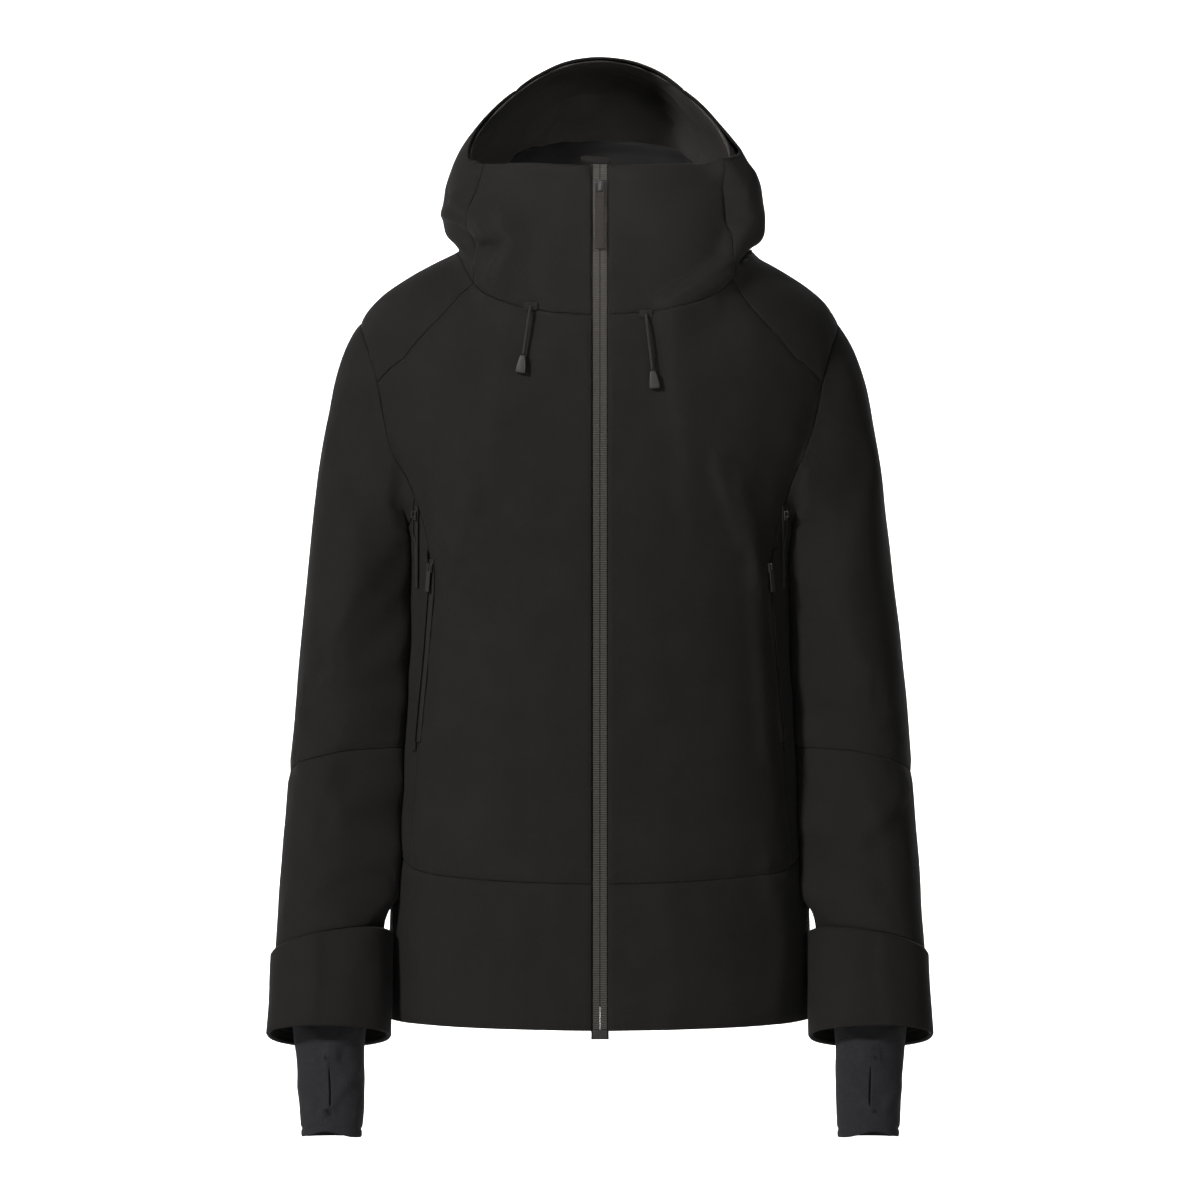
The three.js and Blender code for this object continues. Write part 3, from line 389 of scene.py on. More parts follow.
def raw_skin():
    """All outer panels sewn into one smooth surface. A face's material number says which panel
    it is."""
    whole = bmesh.new()
    for k, (name, wall) in enumerate(SKIN.items()):
        centre = None if "sleeve" in name else Vector((0, TRUNK_Y, 0))
        part = outside_of(name, wall, centre)
        for face in part.faces:
            face.material_index = k
        piece = bpy.data.meshes.new("part")
        part.to_mesh(piece)
        part.free()
        whole.from_mesh(piece)
        bpy.data.meshes.remove(piece)
    bmesh.ops.remove_doubles(whole, verts=whole.verts, dist=SEWN_WITHIN)
    bmesh.ops.join_triangles(whole, faces=whole.faces, cmp_materials=True,
                             angle_face_threshold=math.pi, angle_shape_threshold=math.pi)
    mesh = bpy.data.meshes.new("skin")
    whole.to_mesh(mesh)
    whole.free()
    for name in SKIN:
        mesh.materials.append(bpy.data.materials.new("of_" + name))
    skin = bpy.data.objects.new("skin", mesh)
    bpy.context.scene.collection.objects.link(skin)
    finer = skin.modifiers.new("finer", "SUBSURF")
    finer.levels = finer.render_levels = SMOOTHING
    finer.boundary_smooth = "PRESERVE_CORNERS"
    fine = bpy.data.meshes.new_from_object(skin.evaluated_get(bpy.context.evaluated_depsgraph_get()))
    skin.modifiers.clear()
    skin.data = fine
    return skin


# ---------- folds ----------
PUFF = 1.2 * MM              # the panels stand out by this much between their seams
PUFF_REACH = 8 * MM
PUCKER = 1.3 * MM            # height of the puckers along the seams
PUCKER_SPOT = 9 * MM
PUCKER_FROM, PUCKER_TO = 3 * MM, 16 * MM     # they lie roughly between these distances from a seam
CORD_FLAT = 15               # mm to either side of a drawcord where the cloth lies flat
SLEEVE_MORE = 1.5            # the sleeves are this many times as uneven as the trunk
REST_REACH = 60 * MM         # a sleeve closer than this to the trunk leans on it
REST_GAP = 0.6 * MM          # and stops this far short of it
REST_FADE = 25 * MM          # the leaning ends over this height above the cuff
REST_BELOW = -0.27           # height under which the sleeves can lean
# Folds as lines of (x, z) in mm on the front or back, with height, width on either side, in mm.
FRONT_FOLDS = [
    ([(104, 40), (121, 18), (126, -9), (110, -48), (86, -68), (58, -88)], 14.0, 6, 30),
    ([(133, 30), (139, 5), (133, -20)], 5.0, 8, 12),
    ([(-141, -4), (-121, -12), (-101, -29)], 9.0, 4, 12),
    ([(-126, 6), (-112, -4), (-100, -24), (-106, -52)], 7.0, 5, 14),
    ([(-88, -14), (-79, -34), (-92, -64)], 7.0, 5, 13),
    ([(-128, -40), (-112, -62), (-96, -76)], 3.0, 6, 12),
    ([(100, -74), (120, -60), (138, -40)], 3.0, 5, 10),
    ([(-70, 36), (-40, 30), (-16, 34)], 2.0, 6, 10),
    ([(12, 36), (30, 24), (58, 22)], 2.4, 6, 12),
    ([(-149, -250), (-144, -292), (-131, -313)], 4.2, 5, 15),
    ([(-118, -264), (-122, -300), (-136, -332)], 3.6, 5, 14),
    ([(-104, -290), (-112, -330), (-134, -372)], 2.0, 6, 16),
    ([(104, -235), (118, -275), (128, -303)], 4.0, 5, 15),
    ([(124, -250), (136, -300), (140, -340)], 2.8, 6, 14),
    ([(137, -330), (144, -420), (149, -490)], 2.0, 6, 12),
    ([(-136, -330), (-142, -420), (-148, -500)], 2.0, 6, 12),
    ([(150, -596), (166, -650), (160, -722)], 2.8, 10, 18),
    ([(-120, -640), (-148, -690), (-178, -725)], 2.4, 10, 18),
    ([(-86, -120), (-92, -180), (-98, -230)], 2.6, 9, 20),
    ([(66, -150), (74, -200), (78, -270)], 2.6, 9, 20),
    ([(-40, -640), (-46, -700), (-38, -735)], 1.6, 8, 20),
    ([(60, -650), (66, -700), (58, -735)], 1.5, 8, 20),
]
BACK_FOLDS = [
    ([(-150, -180), (-110, -260), (-60, -320)], 3.0, 14, 26),
    ([(140, -190), (100, -270), (40, -330)], 2.8, 14, 26),
    ([(-60, -420), (0, -440), (70, -425)], 2.4, 12, 24),
    ([(-100, -520), (-20, -500), (60, -530)], 2.2, 12, 24),
]
SLEEVE_FOLDS = [             # x is the distance from the sleeve's middle, outwards positive
    ([(-46, -236), (-34, -300), (-8, -360), (14, -410)], 6.5, 8, 24),
    ([(-42, -318), (-20, -372), (2, -418)], 4.5, 7, 16),
    ([(-44, -388), (-14, -432), (22, -446)], 4.2, 7, 16),
    ([(-38, -458), (0, -484), (34, -476)], 3.4, 7, 15),
    ([(-36, -536), (2, -560), (36, -524)], 5.0, 8, 18),
    ([(-30, -600), (8, -616), (40, -644)], 3.2, 8, 16),
    ([(36, -170), (10, -250), (-12, -330)], 3.6, 11, 28),
    ([(10, -520), (28, -560), (34, -610)], 2.6, 8, 16),
]


def off_line(x, z, points):
    """Signed distance of places from a line of points: positive on its right-hand side."""
    best = np.full(len(x), 1e9)
    signed = np.zeros(len(x))
    for (x0, z0), (x1, z1) in zip(points, points[1:]):
        dx, dz = x1 - x0, z1 - z0
        t = np.clip(((x - x0) * dx + (z - z0) * dz) / (dx * dx + dz * dz), 0, 1)
        away = np.hypot(x - x0 - t * dx, z - z0 - t * dz)
        hand = np.sign((x - x0) * dz - (z - z0) * dx)
        signed = np.where(away < best, hand * away, signed)
        best = np.minimum(best, away)
    return signed


def fold_height(x, z, folds):
    """Height in mm of the folds in a table at places x, z in mm."""
    total = np.zeros(len(x))
    for points, height, right, left in folds:
        away = off_line(x, z, points)
        width = np.where(away > 0, right, left)
        total += height * np.exp(-(away / width) ** 2)
    return total


def cloud(places, size, seed):
    """Smooth noise from -1 to 1 at each place; size is a spot's size in metres along x, y and z."""
    shift = Vector((seed * 3.1, seed * 1.7, seed * 2.3))
    return np.array([noise.noise(Vector((p[0] / size[0], p[1] / size[1], p[2] / size[2])) + shift)
                     for p in places])


def mesh_arrays(mesh):
    """Places and normals of a mesh as arrays."""
    places = np.zeros(len(mesh.vertices) * 3)
    mesh.vertices.foreach_get("co", places)
    normals = np.zeros(len(mesh.vertices) * 3, np.float32)
    mesh.vertex_normals.foreach_get("vector", normals)
    return places.reshape(-1, 3), normals.reshape(-1, 3).astype(float)


def write_places(mesh, places):
    """Puts changed corner places back into a mesh."""
    mesh.vertices.foreach_set("co", places.ravel())
    mesh.update()


def seam_places(mesh):
    """Which vertices lie on a seam between two panels, and which belong to a sleeve."""
    first = np.full(len(mesh.vertices), -1)
    on_seam = np.zeros(len(mesh.vertices), bool)
    sleeve = np.zeros(len(mesh.vertices), bool)
    names = list(SKIN)
    for face in mesh.polygons:
        for v in face.vertices:
            if first[v] >= 0 and first[v] != face.material_index:
                on_seam[v] = True
            first[v] = face.material_index
            if "sleeve" in names[face.material_index]:
                sleeve[v] = True
    return on_seam, sleeve


def nearest(places, targets):
    """Distance to, and index of, the nearest target of each place."""
    tree = KDTree(len(targets))
    for k, t in enumerate(targets):
        tree.insert(t, k)
    tree.balance()
    found = [tree.find(p) for p in places]
    return np.array([f[2] for f in found]), np.array([f[1] for f in found])


def lay_folds(skin):
    """Fills the panels out between their seams, puckers them along the seams and lays the folds in."""
    mesh = skin.data
    places, normals = mesh_arrays(mesh)
    on_seam, sleeve = seam_places(mesh)
    seams = places[on_seam]
    away, which = nearest(places, seams)
    pucker = cloud(seams, (PUCKER_SPOT, PUCKER_SPOT, PUCKER_SPOT), 1)[which]
    height = PUFF * (1 - np.exp(-away / PUFF_REACH))
    near_seam = np.exp(-(away / PUCKER_TO) ** 2)
    height += PUCKER * pucker * near_seam * (1 - np.exp(-away / PUCKER_FROM))
    x, z = places[:, 0] / MM, places[:, 2] / MM
    front = np.clip(-normals[:, 1] * 2, 0, 1)
    behind = np.clip(normals[:, 1] * 2, 0, 1)
    body = ~sleeve
    height += MM * fold_height(x, z, FRONT_FOLDS) * front * body
    height += MM * fold_height(x, z, BACK_FOLDS) * behind * body
    for side in (-1, 1):
        low, high = corners_of(*(f"{n}_{'left' if side > 0 else 'right'}"
                                 for n in ("upper_sleeve", "forearm_sleeve")))
        middle = (low.x + high.x) / 2 / MM
        here = sleeve & (places[:, 0] * side > 0)
        out = side * (x - middle)
        shift = 14 * side
        height += MM * fold_height(out, z + shift, SLEEVE_FOLDS) * here * front
        height += MM * fold_height(-out, z - shift - 20, SLEEVE_FOLDS) * here * behind * 0.8
    broad = cloud(places, (0.07, 0.07, 0.13), 2)
    fine = cloud(places, (0.022, 0.022, 0.045), 3)
    height += (1.6 * broad + 0.5 * fine) * MM * np.where(sleeve, SLEEVE_MORE, 1.0)
    for route in CORD_ROUTES.values():       # the cloth lies flat behind the drawcords
        near = off_line(x, z, [(p[0], p[2]) for p in (route[0], route[-1])])
        height -= np.clip(height, 0, None) * np.exp(-(near / CORD_FLAT) ** 2) * front
    places += normals * height[:, None]
    rest_on_trunk(places, normals, sleeve, mesh)
    write_places(mesh, places)


def rest_on_trunk(places, normals, sleeve, mesh):
    """Lets the inner side of each sleeve rest against the trunk where they hang close together."""
    names = list(SKIN)
    faces = [tuple(f.vertices) for f in mesh.polygons if "sleeve" not in names[f.material_index]]
    trunk = BVHTree.FromPolygons([Vector(p) for p in places], faces)
    cuff_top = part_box("cuff_left")[1].z
    for k in np.flatnonzero(sleeve & (places[:, 2] < REST_BELOW)):
        here = Vector(places[k])
        spot, normal, _, far = trunk.find_nearest(here, REST_REACH)
        if spot is None:
            continue
        inside = (here - spot).dot(normal) < 0
        faces_it = max(0.0, -math.copysign(1.0, here.x) * normals[k][0])
        share = 1.0
        if not inside:
            share = min(1.0, 1.6 * faces_it) * min(1.0, max(0.0, 1.5 - 1.5 * far / REST_REACH))
        share *= min(1.0, max(0.0, (here.z - cuff_top) / REST_FADE))
        places[k] = here.lerp(spot + normal * REST_GAP, share)


def split_by_panel(skin):
    """The skin as one object for each panel, under the panel's own name."""
    bpy.context.view_layer.objects.active = skin
    skin.select_set(True)
    bpy.ops.object.mode_set(mode="EDIT")
    bpy.ops.mesh.select_all(action="SELECT")
    bpy.ops.mesh.separate(type="MATERIAL")
    bpy.ops.object.mode_set(mode="OBJECT")
    panels = {}
    for part in list(bpy.context.scene.objects):
        if part.type == "MESH" and part.data.materials and part.data.materials[0].name.startswith("of_"):
            name = part.data.materials[0].name[3:]
            part.name = part.data.name = "cloth_" + name
            panels[name] = part
    return panels


def sew_edges(panel, inset, sink):
    """A narrow strip along the panel's edges that dips into the seam."""
    bm = bmesh.new()
    bm.from_mesh(panel.data)
    bmesh.ops.inset_region(bm, faces=bm.faces, thickness=inset, use_boundary=True,
                           use_even_offset=True)
    bm.normal_update()
    places = [(v, v.normal.copy()) for v in bm.verts if v.is_boundary]
    for v, normal in places:
        v.co -= normal * sink
    bm.to_mesh(panel.data)
    bm.free()


SLEEVE_ROUND = 0.05          # radius at which the cloth's pattern is measured out, in metres
TRUNK_ROUND = 0.16


def wrap_uv(obj, centre, radius, turn):
    """UV in metres: round a vertical line through centre, and height. turn is where u is 0."""
    mesh = obj.data
    places, _ = mesh_arrays(mesh)
    angle = np.arctan2(places[:, 0] - centre.x, places[:, 1] - centre.y) - turn
    angle = (angle + math.pi) % (2 * math.pi) - math.pi
    loops = np.zeros(len(mesh.loops), int)
    mesh.loops.foreach_get("vertex_index", loops)
    layer = mesh.uv_layers.get("wrap") or mesh.uv_layers.new(name="wrap")
    layer.data.foreach_set("uv", np.stack([angle * radius, places[:, 2]], 1)[loops].ravel())


def wrap_piece(obj, name):
    """UV in metres for a piece: round its own axis for sleeves, round the trunk for the rest."""
    low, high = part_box(name)
    middle = (low + high) / 2
    if "sleeve" in name or "cuff" in name or "gaiter" in name:
        outwards = math.pi / 2 if middle.x > 0 else -math.pi / 2
        wrap_uv(obj, middle, SLEEVE_ROUND, outwards)
    else:
        wrap_uv(obj, Vector((0, TRUNK_Y, 0)), TRUNK_ROUND, 0 if middle.y > TRUNK_Y else math.pi)


def dress(piece, name, material, wall=None):
    """Gives a cloth piece its material, thickness and place in the frame."""
    piece.data.materials.clear()
    piece.data.materials.append(material)
    piece.data.polygons.foreach_set("material_index", [0] * len(piece.data.polygons))
    piece.data.shade_smooth()
    if wall:
        thick = piece.modifiers.new("thickness", "SOLIDIFY")
        thick.thickness, thick.offset = wall, -1
    wrap_piece(piece, name)
    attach(piece, "jacket")
    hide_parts(name)


def smooth_from(bm, name, levels):
    """A bmesh of CAD faces as an object of smooth quads."""
    bmesh.ops.join_triangles(bm, faces=bm.faces, angle_face_threshold=math.pi,
                             angle_shape_threshold=math.pi)
    mesh = bpy.data.meshes.new(name)
    bm.to_mesh(mesh)
    bm.free()
    made = bpy.data.objects.new(name, mesh)
    bpy.context.scene.collection.objects.link(made)
    finer = made.modifiers.new("finer", "SUBSURF")
    finer.levels = finer.render_levels = levels
    finer.boundary_smooth = "PRESERVE_CORNERS"
    fine = bpy.data.meshes.new_from_object(made.evaluated_get(bpy.context.evaluated_depsgraph_get()))
    made.modifiers.clear()
    made.data = fine
    return made


def push(obj, height):
    """Moves each vertex along its normal by a height in metres, one for each vertex."""
    places, normals = mesh_arrays(obj.data)
    places += normals * height[:, None]
    write_places(obj.data, places)


def surface_ahead(obj, x, z):
    """The frontmost point of an object's surface at x and z."""
    mesh = obj.data
    tree = BVHTree.FromPolygons([v.co for v in mesh.vertices], [f.vertices for f in mesh.polygons])
    return tree.ray_cast(Vector((x, -1, z)), Vector((0, 1, 0)))[0]


# ---------- cuffs, gaiters and linings ----------
CUFF_WALL = 6.5 * MM
GAITER_WALL = 2 * MM
SLIT_LOW, SLIT_HIGH = 28 * MM, 76 * MM       # ends of the thumb slit above the gaiter's hem
SLIT_NEAR = 16 * MM          # the cloth puckers about this far to either side of the slit
HEM_STITCH_UP = 9 * MM       # the hem's line of stitches above its edge
HEM_RISE = 7 * MM            # the hem rises by this much in the middle of its front
CUFF_LEAN = 7                # the cuff's inner side leans in towards the hem by this many mm
# Folds like those above: x outwards from the middle, z from the cuff's top or the gaiter's foot.
CUFF_CREASES = [
    ([(8, 0), (6, -40), (10, -80)], 1.8, 5, 16),
    ([(-38, -8), (-20, -50), (-24, -80)], 1.4, 8, 16),
]
GAITER_FOLDS = [
    ([(20, 104), (2, 92), (-8, 80)], 2.4, 4, 9),
    ([(-26, 60), (-12, 44), (-4, 30)], 2.0, 4, 8),
    ([(24, 48), (12, 36), (4, 26)], 1.8, 4, 8),
    ([(-24, 100), (-12, 88), (-6, 78)], 1.8, 4, 8),
]


def make_cuff(side):
    """The cuff band, slightly creased and resting against the hem."""
    name = f"cuff_{side}"
    cuff = smooth_from(outside_of(name, CUFF_WALL), "cloth_" + name, 3)
    places, normals = mesh_arrays(cuff.data)
    low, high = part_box(name)
    middle = (low.x + high.x) / 2
    x, z = (places[:, 0] - middle) / MM, (places[:, 2] - high.z) / MM
    sign = 1 if side == "left" else -1
    inner = CUFF_LEAN * np.clip(-normals[:, 0] * sign, 0, 1) ** 2
    crease = fold_height(x * sign, z, CUFF_CREASES)
    push(cuff, MM * (0.8 + crease + inner + 1.0 * cloud(places, (0.04, 0.04, 0.05), 5)))
    sew_edges(cuff, inset=2.0 * MM, sink=1.2 * MM)
    dress(cuff, name, cloth, wall=4 * MM)


def make_gaiter(side):
    """The stretch wrist gaiter with folds, a puckered thumb slit and its bar tacks."""
    name = f"wrist_gaiter_{side}"
    gaiter = smooth_from(outside_of(name, GAITER_WALL), "cloth_" + name, 3)
    places, normals = mesh_arrays(gaiter.data)
    low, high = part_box(name)
    z = places[:, 2] - low.z
    middle = (low.x + high.x) / 2
    near_slit = np.exp(-((places[:, 0] - middle) / SLIT_NEAR) ** 2)
    ends = np.exp(-((z - SLIT_LOW) / (9 * MM)) ** 2) + np.exp(-((z - SLIT_HIGH) / (11 * MM)) ** 2)
    pull = cloud(places, (6 * MM, 20 * MM, 12 * MM), 6)
    folds = 1.1 * cloud(places, (0.03, 0.03, 0.022), 7) + 0.6 * cloud(places, (0.012, 0.02, 0.03), 8)
    top = np.clip((z - 0.085) / 0.03, 0, 1)
    hem = -1.2 * np.exp(-((z - HEM_STITCH_UP) / (1.6 * MM)) ** 2)
    sign = 1 if side == "left" else -1
    x = (places[:, 0] - middle) / MM * sign
    laid = fold_height(x, z / MM, GAITER_FOLDS)
    laid *= np.clip(-normals[:, 1] * 2, 0, 1)
    push(gaiter, MM * (folds * (1 + top) + laid + hem + 2.4 * pull * near_slit * ends))
    places, _ = mesh_arrays(gaiter.data)
    ahead = np.clip(-(places[:, 1] - (low.y + high.y) / 2) / (20 * MM), 0, 1)
    near_hem = np.clip(1 - (places[:, 2] - low.z) / (30 * MM), 0, 1)
    places[:, 2] += HEM_RISE * ahead * near_hem * np.exp(-((places[:, 0] - middle) / (17 * MM)) ** 2)
    write_places(gaiter.data, places)
    sew_edges(gaiter, inset=1.2 * MM, sink=0.6 * MM)
    for k, height in enumerate((SLIT_LOW, SLIT_HIGH)):
        found = surface_ahead(gaiter, middle, low.z + height)
        if found is not None:
            reach = Vector((0, 0, 1.6 * MM))
            bar_of_stitches(f"bar_tack_{side}_{k}", found - reach, found + reach, Vector((0, -1, 0)))
    dress(gaiter, name, jersey, wall=1.4 * MM)


def make_lining(name, levels=2, wavy=0.6, material=None):
    """A lining as a smooth closed shell with soft waves."""
    lining = smooth_from(merged_copy(name), "cloth_" + name, levels)
    places, _ = mesh_arrays(lining.data)
    push(lining, MM * wavy * cloud(places, (0.03, 0.03, 0.05), 9) - 0.5 * MM)
    dress(lining, name, material or taffeta)


# ---------- zips, sliders and pulls ----------
ZIP_LEAN = 0.03              # the main zip leans back by this share of its height
TEETH_PITCH = 1.6 * MM
TEETH_HALF = 6.2 * MM        # from the closed zip's middle to the teeth's outer ends
TEETH_GAP = 0.35 * MM        # half the groove between the two sides
TEETH_THICK = 1.5 * MM
TAPE_WIDE = 7.8 * MM         # each half of the tape
TAPE_THICK = 1.6 * MM
TAPE_BEHIND = 1.2 * MM       # from the middle of the teeth back to the middle of the tape
TAPE_MIDDLE = 4.0 * MM       # from the zip's middle to the middle of each half of the tape
TOOTH_SHARE = 0.74           # a tooth takes this share of its step, the rest is the gap to the next
TOOTH_EDGE = 0.28 * MM


def body_of(name):
    """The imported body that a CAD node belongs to."""
    return next(b for b, e in frame["bodies"].items() if frame["nodes"][name].parent == e)


def frame_box(bm, centre, across, out, along, size, chamfer):
    """A small block with its front edges cut off; size is across, out, along."""
    w, d, h = (v / 2 for v in size)
    rings = [(-d, 0), (d - chamfer, 0), (d, chamfer)]
    verts = []
    for depth, cut in rings:
        ring = [centre + across * sx * (w - cut) + along * sz * (h - cut) + out * depth
                for sx, sz in ((-1, -1), (1, -1), (1, 1), (-1, 1))]
        verts.append([bm.verts.new(corner) for corner in ring])
    made = [bm.faces.new(verts[-1])]
    for low, high in zip(verts, verts[1:]):
        for k in range(4):
            made.append(bm.faces.new((low[k], low[(k + 1) % 4], high[(k + 1) % 4], high[k])))
    middle = centre - out * d
    for face in made:
        face.normal_update()
        if face.normal.dot(face.calc_center_median() - middle) < 0:
            face.normal_flip()


def rows_of(name, step=1.0 * MM):
    """Middle and across direction of a zip strip's CAD mesh at each row of its corners."""
    bm = merged_copy(name)
    corners = sorted((v.co.copy() for v in bm.verts), key=lambda c: c.z)
    bm.free()
    groups = [[corners[0]]]
    for corner in corners[1:]:
        if corner.z - groups[-1][-1].z > step:
            groups.append([])
        groups[-1].append(corner)
    rows = []
    axis = Vector((0, TRUNK_Y, 0))
    for group in groups:
        far = sorted(group, key=lambda c: -((c - axis) * Vector((1, 1, 0))).length)[:2]
        far.sort(key=lambda c: c.y)
        middle = (far[0] + far[1]) / 2
        rows.append((middle, far[1] - far[0]))
    return rows


def along_rows(rows, pitch):
    """Places at equal steps along rows: middle, across, out and along."""
    spots = []
    for (a, wa), (b, wb) in zip(rows, rows[1:]):
        count = max(1, round((b - a).length / pitch))
        along = (b - a).normalized()
        for k in range(count):
            t = (k + 0.5) / count
            across = wa.lerp(wb, t).normalized()
            across = (across - along * across.dot(along)).normalized()
            out = across.cross(along)
            if out.dot(a - Vector((0, TRUNK_Y, a.z))) < 0:
                out = -out
            spots.append((a.lerp(b, t), across, out, along))
    return spots


def teeth(spots, half, gap, thick, pitch, sides=(-1, 1)):
    """Zip teeth as ribs on either side of a groove."""
    bm = bmesh.new()
    for middle, across, out, along in spots:
        for side in sides:
            centre = middle + across * side * (gap + half) / 2
            frame_box(bm, centre, across, out, along, (half - gap, thick, pitch * TOOTH_SHARE),
                      TOOTH_EDGE)
    return bm


def put(piece, node):
    """Places a hard piece on its body in place of a CAD node."""
    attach(piece, body_of(node))
    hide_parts(node)
    return piece


def hard_copy(name, material, edge=0.35 * MM, segments=2):
    """A CAD piece with its edges rounded."""
    bm = merged_copy(name)
    bmesh.ops.dissolve_limit(bm, angle_limit=math.radians(2), verts=bm.verts, edges=bm.edges)
    bmesh.ops.bevel(bm, geom=[e for e in bm.edges if e.calc_face_angle(0) > math.radians(30)],
                    offset=edge, offset_type="OFFSET", affect="EDGES", segments=segments, profile=0.5,
                    material=-1, clamp_overlap=True)
    bmesh.ops.recalc_face_normals(bm, faces=bm.faces)
    piece = finished(bm, "made_" + name, material, smooth=True)
    piece.data.set_sharp_from_angle(angle=math.radians(40))
    return put(piece, name)


def make_main_zip():
    """Teeth and tape of the main zip, each half its own piece."""
    for side, sign in (("left", 1), ("right", -1)):
        name = f"zip_tape_{side}"
        low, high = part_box(name)
        foot = Vector((0, low.y + 0.4 * MM, low.z))
        head = foot + Vector((0, ZIP_LEAN, 1)) * (high.z - low.z)
        rows = [(foot, Vector((1, 0, 0))), (head, Vector((1, 0, 0)))]
        spots = along_rows(rows, TEETH_PITCH)
        bm = teeth(spots, TEETH_HALF, TEETH_GAP, TEETH_THICK, TEETH_PITCH, (sign,))
        put(finished(bm, f"teeth_{side}", acetal), name)
        bm = bmesh.new()
        up = Vector((0, ZIP_LEAN, 1)).normalized()
        out = Vector((0, -1, ZIP_LEAN)).normalized()
        below = foot.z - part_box("zip_box")[0].z      # the tape runs on behind the box at the foot
        middle = (foot + head) / 2 - out * TAPE_BEHIND - up * below / 2
        middle += Vector((sign * TAPE_MIDDLE, 0, 0))
        size = (TAPE_WIDE, TAPE_THICK, (head - foot).length + below)
        frame_box(bm, middle, Vector((1, 0, 0)), out, up, size, chamfer=0.1 * MM)
        put(finished(bm, f"tape_{side}", tape), name)


FOLD_AHEAD, FOLD_UP = 3.4 * MM, 3.2 * MM     # half the thickness and height of the fold over the zip
FOLD_SAG = 1.6 * MM          # its wearer's left end hangs this much lower than its middle


def make_garage():
    """The cloth folded over the zip's top: a soft roll that reaches further to the wearer's right."""
    low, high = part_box("zip_garage")
    middle = (low + high) / 2
    bm = bmesh.new()
    bmesh.ops.create_uvsphere(bm, u_segments=32, v_segments=16, radius=1)
    for v in bm.verts:
        across = math.copysign(abs(v.co.x) ** 0.55, v.co.x)
        up = math.copysign(abs(v.co.z) ** 0.7, v.co.z)
        ahead = math.copysign(abs(v.co.y) ** 0.8, v.co.y)
        v.co = middle + Vector((across * (high.x - low.x) / 2, ahead * FOLD_AHEAD,
                                up * FOLD_UP - FOLD_SAG * across))
    places = np.array([tuple(v.co) for v in bm.verts])
    wave = cloud(places, (4 * MM, 9 * MM, 4 * MM), 14)
    for v, w in zip(bm.verts, wave):
        v.co += (v.co - middle).normalized() * 0.5 * MM * w
    piece = put(finished(bm, "fold_over_zip", cloth, smooth=True), "zip_garage")


def make_small_zip(name, half, pitch):
    """A pocket or vent zip: tape and two rows of fine teeth."""
    rows = rows_of(name)
    spots = along_rows(rows, pitch)
    bm = teeth(spots, half, gap=0.2 * MM, thick=0.9 * MM, pitch=pitch)
    put(finished(bm, "teeth_" + name, dark_acetal), name)
    hard_copy(name, tape, edge=0.1 * MM, segments=1)


# ---------- drawcords ----------
CORD_WIDE = 2.8 * MM
CORD_ROUTES = {
    "left": [(41.15, -178.71, -97.4), (41.9, -180.4, -103.03), (42.59, -180.91, -108.69),
             (43.27, -181.17, -114.35), (43.95, -181.29, -120.02), (44.62, -181.35, -125.69),
             (45.29, -181.36, -131.36), (45.96, -181.35, -137.04), (46.63, -181.33, -142.71),
             (47.29, -181.33, -148.38)],
    "right": [(-62.28, -176.91, -90.29), (-63.15, -178.6, -95.22), (-63.91, -179.08, -100.11),
              (-64.65, -179.29, -105.01), (-65.38, -179.36, -109.91), (-66.11, -179.36, -114.81),
              (-66.83, -179.31, -119.71), (-67.55, -179.23, -124.6), (-68.27, -179.15, -129.5),
              (-68.99, -179.07, -134.39)],
}


def tube(points, radius, sides=12):
    """A closed round tube along points."""
    bm = bmesh.new()
    rings = []
    for k, point in enumerate(points):
        along = (points[min(k + 1, len(points) - 1)] - points[max(k - 1, 0)]).normalized()
        right = along.cross(Vector((0, 1, 0))).normalized()
        ahead = along.cross(right)
        rings.append([bm.verts.new(point + (right * math.cos(a) + ahead * math.sin(a)) * radius)
                      for a in (2 * math.pi * j / sides for j in range(sides))])
    for low, high in zip(rings, rings[1:]):
        for j in range(sides):
            bm.faces.new((low[j], low[(j + 1) % sides], high[(j + 1) % sides], high[j]))
    bm.faces.new(rings[0])
    bm.faces.new(rings[-1])
    bmesh.ops.recalc_face_normals(bm, faces=bm.faces)
    return bm


def spread_points(points, count):
    """The same line with count points at equal steps."""
    places = np.array([tuple(p) for p in points])
    steps = np.r_[0, np.cumsum(np.linalg.norm(np.diff(places, axis=0), axis=1))]
    at = np.linspace(0, steps[-1], count)
    even = np.stack([np.interp(at, steps, places[:, k]) for k in range(3)], 1)
    return [Vector(p) for p in even], steps[-1]


def make_drawcord(side):
    """A drawcord from its buttonhole to its moulded end."""
    end = hard_copy(f"cord_end_{side}", rubber, edge=1.1 * MM, segments=3)
    route = [Vector(p) * MM for p in CORD_ROUTES[side]]
    points, length = spread_points(route, 30)
    cord = finished(tube(points, CORD_WIDE / 2), f"braid_{side}", braid, smooth=True)
    put(cord, f"drawcord_{side}")


def capsule(bm, start, stop, radius):
    """A stitch: a six-sided thread between two points, tapered at its ends."""
    along = (stop - start).normalized()
    right = along.cross(Vector((0.3, 1, 0.2))).normalized()
    ahead = along.cross(right)
    rings = []
    for share, wide in ((0, 0.45), (0.2, 1), (0.8, 1), (1, 0.45)):
        at = start.lerp(stop, share)
        rings.append([bm.verts.new(at + (right * math.cos(a) + ahead * math.sin(a)) * radius * wide)
                      for a in (math.pi * j / 3 for j in range(6))])
    for low, high in zip(rings, rings[1:]):
        for j in range(6):
            bm.faces.new((low[j], high[j], high[(j + 1) % 6], low[(j + 1) % 6]))
    bm.faces.new(rings[0])
    bm.faces.new(list(reversed(rings[-1])))


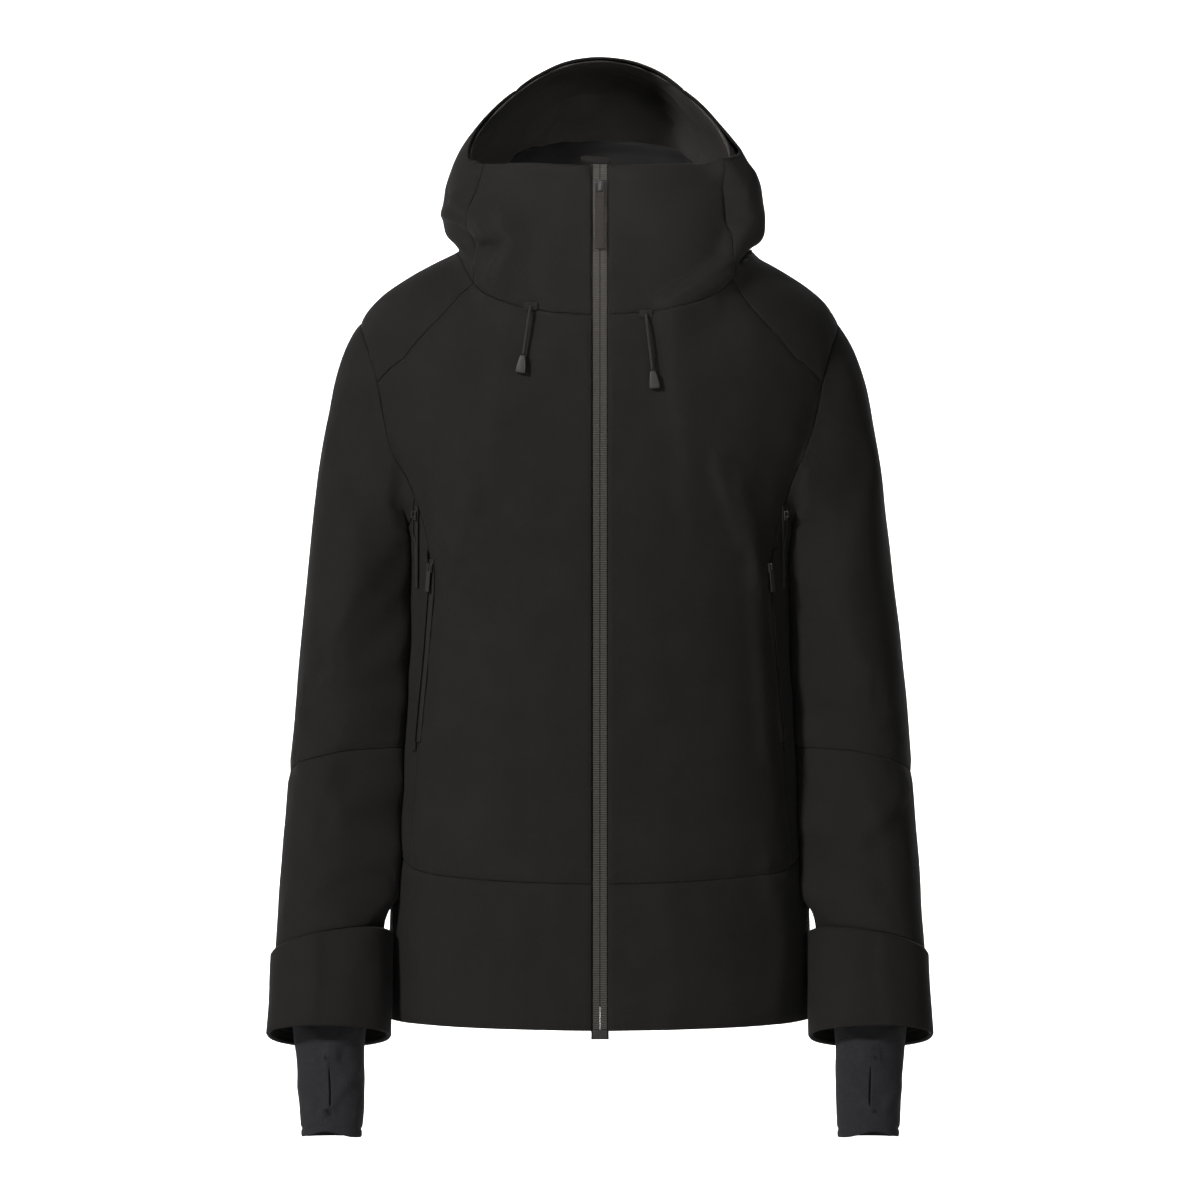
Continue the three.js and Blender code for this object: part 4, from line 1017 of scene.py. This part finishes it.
def bar_of_stitches(name, low, high, out, rows=7, wide=4 * MM, radius=0.28 * MM):
    """A bar tack: short threads side by side from low to high."""
    bm = bmesh.new()
    along = (high - low).normalized()
    across = along.cross(out).normalized()
    for k in range(rows):
        middle = low.lerp(high, (k + 0.5) / rows) + out * radius * 0.6
        lean = along * 0.25 * MM * (1 if k % 2 else -1)
        capsule(bm, middle - across * wide / 2 - lean, middle + across * wide / 2 + lean, radius)
    bmesh.ops.recalc_face_normals(bm, faces=bm.faces)
    piece = finished(bm, name, thread, smooth=True)
    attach(piece, "jacket")


COLLAR_SEAMS = (58, 92, 128)     # the stitched rings above the collar's foot, in mm
SEAM_RISE = 14               # the rings sit this many mm higher in the middle than at the sides
SEAM_NEAR = 5                # the padding narrows this many mm above and below a ring
COLLAR_SINK = 2.2            # the rings sink in by this many mm
COLLAR_PUFF = 2.6            # the padding between them stands this many mm above them


def make_inner_collar():
    """The padded collar behind the zip top, sewn through in rings."""
    name = "inner_collar"
    collar = smooth_from(merged_copy(name), "padded_" + name, 3)
    places, _ = mesh_arrays(collar.data)
    low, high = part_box(name)
    side = np.abs(places[:, 0]) / ((high.x - low.x) / 2)
    rise = (places[:, 2] - low.z) / MM - SEAM_RISE * (1 - side ** 2)
    seams = sum(np.exp(-((rise - h) / SEAM_NEAR) ** 2) for h in COLLAR_SEAMS)
    puff = COLLAR_PUFF * (1 - np.clip(seams, 0, 1)) - COLLAR_SINK
    crease = 1.9 * cloud(places, (0.012, 0.02, 0.022), 11)
    crease += 2.4 * cloud(places, (0.028, 0.03, 0.02), 12)
    push(collar, MM * (puff + crease * (0.4 + side)))
    dress(collar, name, taffeta)


make_camera()
make_stage()
acetal, tape, zinc, webbing = acetal_moulded(), tape_herringbone(), zinc_painted(), webbing_woven()
braid, rubber, thread = cord_braided(), elastomer_moulded(), thread_spun()
cloth, taffeta, jersey = polyester_twill(), nylon_taffeta(), stretch_jersey()
# The hood lining's taffeta is painted lighter than the other linings: painted light standing in for the
# light that falls into the hood
taffeta_painted_lighter = nylon_taffeta("2E2B2A", "3C3936", "nylon_taffeta_brushed")
dark_acetal = acetal_moulded("1E1C1B", "2A2826", "acetal_moulded_dark")
skin = raw_skin()
lay_folds(skin)
panels = split_by_panel(skin)
for name, panel in panels.items():
    sew_edges(panel, inset=1.1 * MM, sink=0.7 * MM)
    dress(panel, name, cloth, wall=1.8 * MM)
for side in ("left", "right"):
    make_cuff(side)
    make_gaiter(side)
    make_lining(f"front_lining_{side}")
    make_lining(f"sleeve_lining_{side}")
    make_lining(f"pocket_bag_{side}", levels=1, wavy=0.2)
for name in ("back_lining", "shoulder_lining"):
    make_lining(name)
# The hood lining gets the taffeta painted lighter, as painted light inside the hood
make_lining("hood_lining", levels=3, wavy=2.2, material=taffeta_painted_lighter)
make_inner_collar()
make_main_zip()
for side in ("left", "right"):
    make_small_zip(f"pocket_zip_{side}", half=2.6 * MM, pitch=1.3 * MM)
    make_small_zip(f"vent_zip_{side}", half=2.2 * MM, pitch=1.3 * MM)
    for name in (f"pocket_slider_{side}", f"vent_slider_{side}"):
        hard_copy(name, zinc, edge=0.25 * MM)
    hard_copy(f"pocket_pull_{side}", webbing, edge=0.4 * MM)
    hard_copy(f"pocket_welt_{side}", cloth, edge=0.5 * MM, segments=3)
    hard_copy(f"cord_eyelet_{side}", thread, edge=0.4 * MM)
    low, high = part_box(f"cord_eyelet_{side}")
    for k, x in enumerate((low.x - 1 * MM, high.x + 1 * MM)):
        middle = (low + high) / 2
        found = surface_ahead(panels[f"front_panel_{side}"], x, middle.z) or middle
        reach = Vector((0, 0, 4 * MM))
        bar_of_stitches(f"buttonhole_{side}_{k}", found - reach, found + reach,
                        Vector((0, -1, 0)), rows=9, wide=1.6 * MM)
    make_drawcord(side)
for name in ("main_slider", "zip_box"):
    hard_copy(name, zinc, edge=0.5 * MM, segments=3)
make_garage()
hard_copy("main_pull", webbing, edge=0.45 * MM, segments=3)
hard_copy("hang_loop", webbing, edge=0.5 * MM, segments=2)
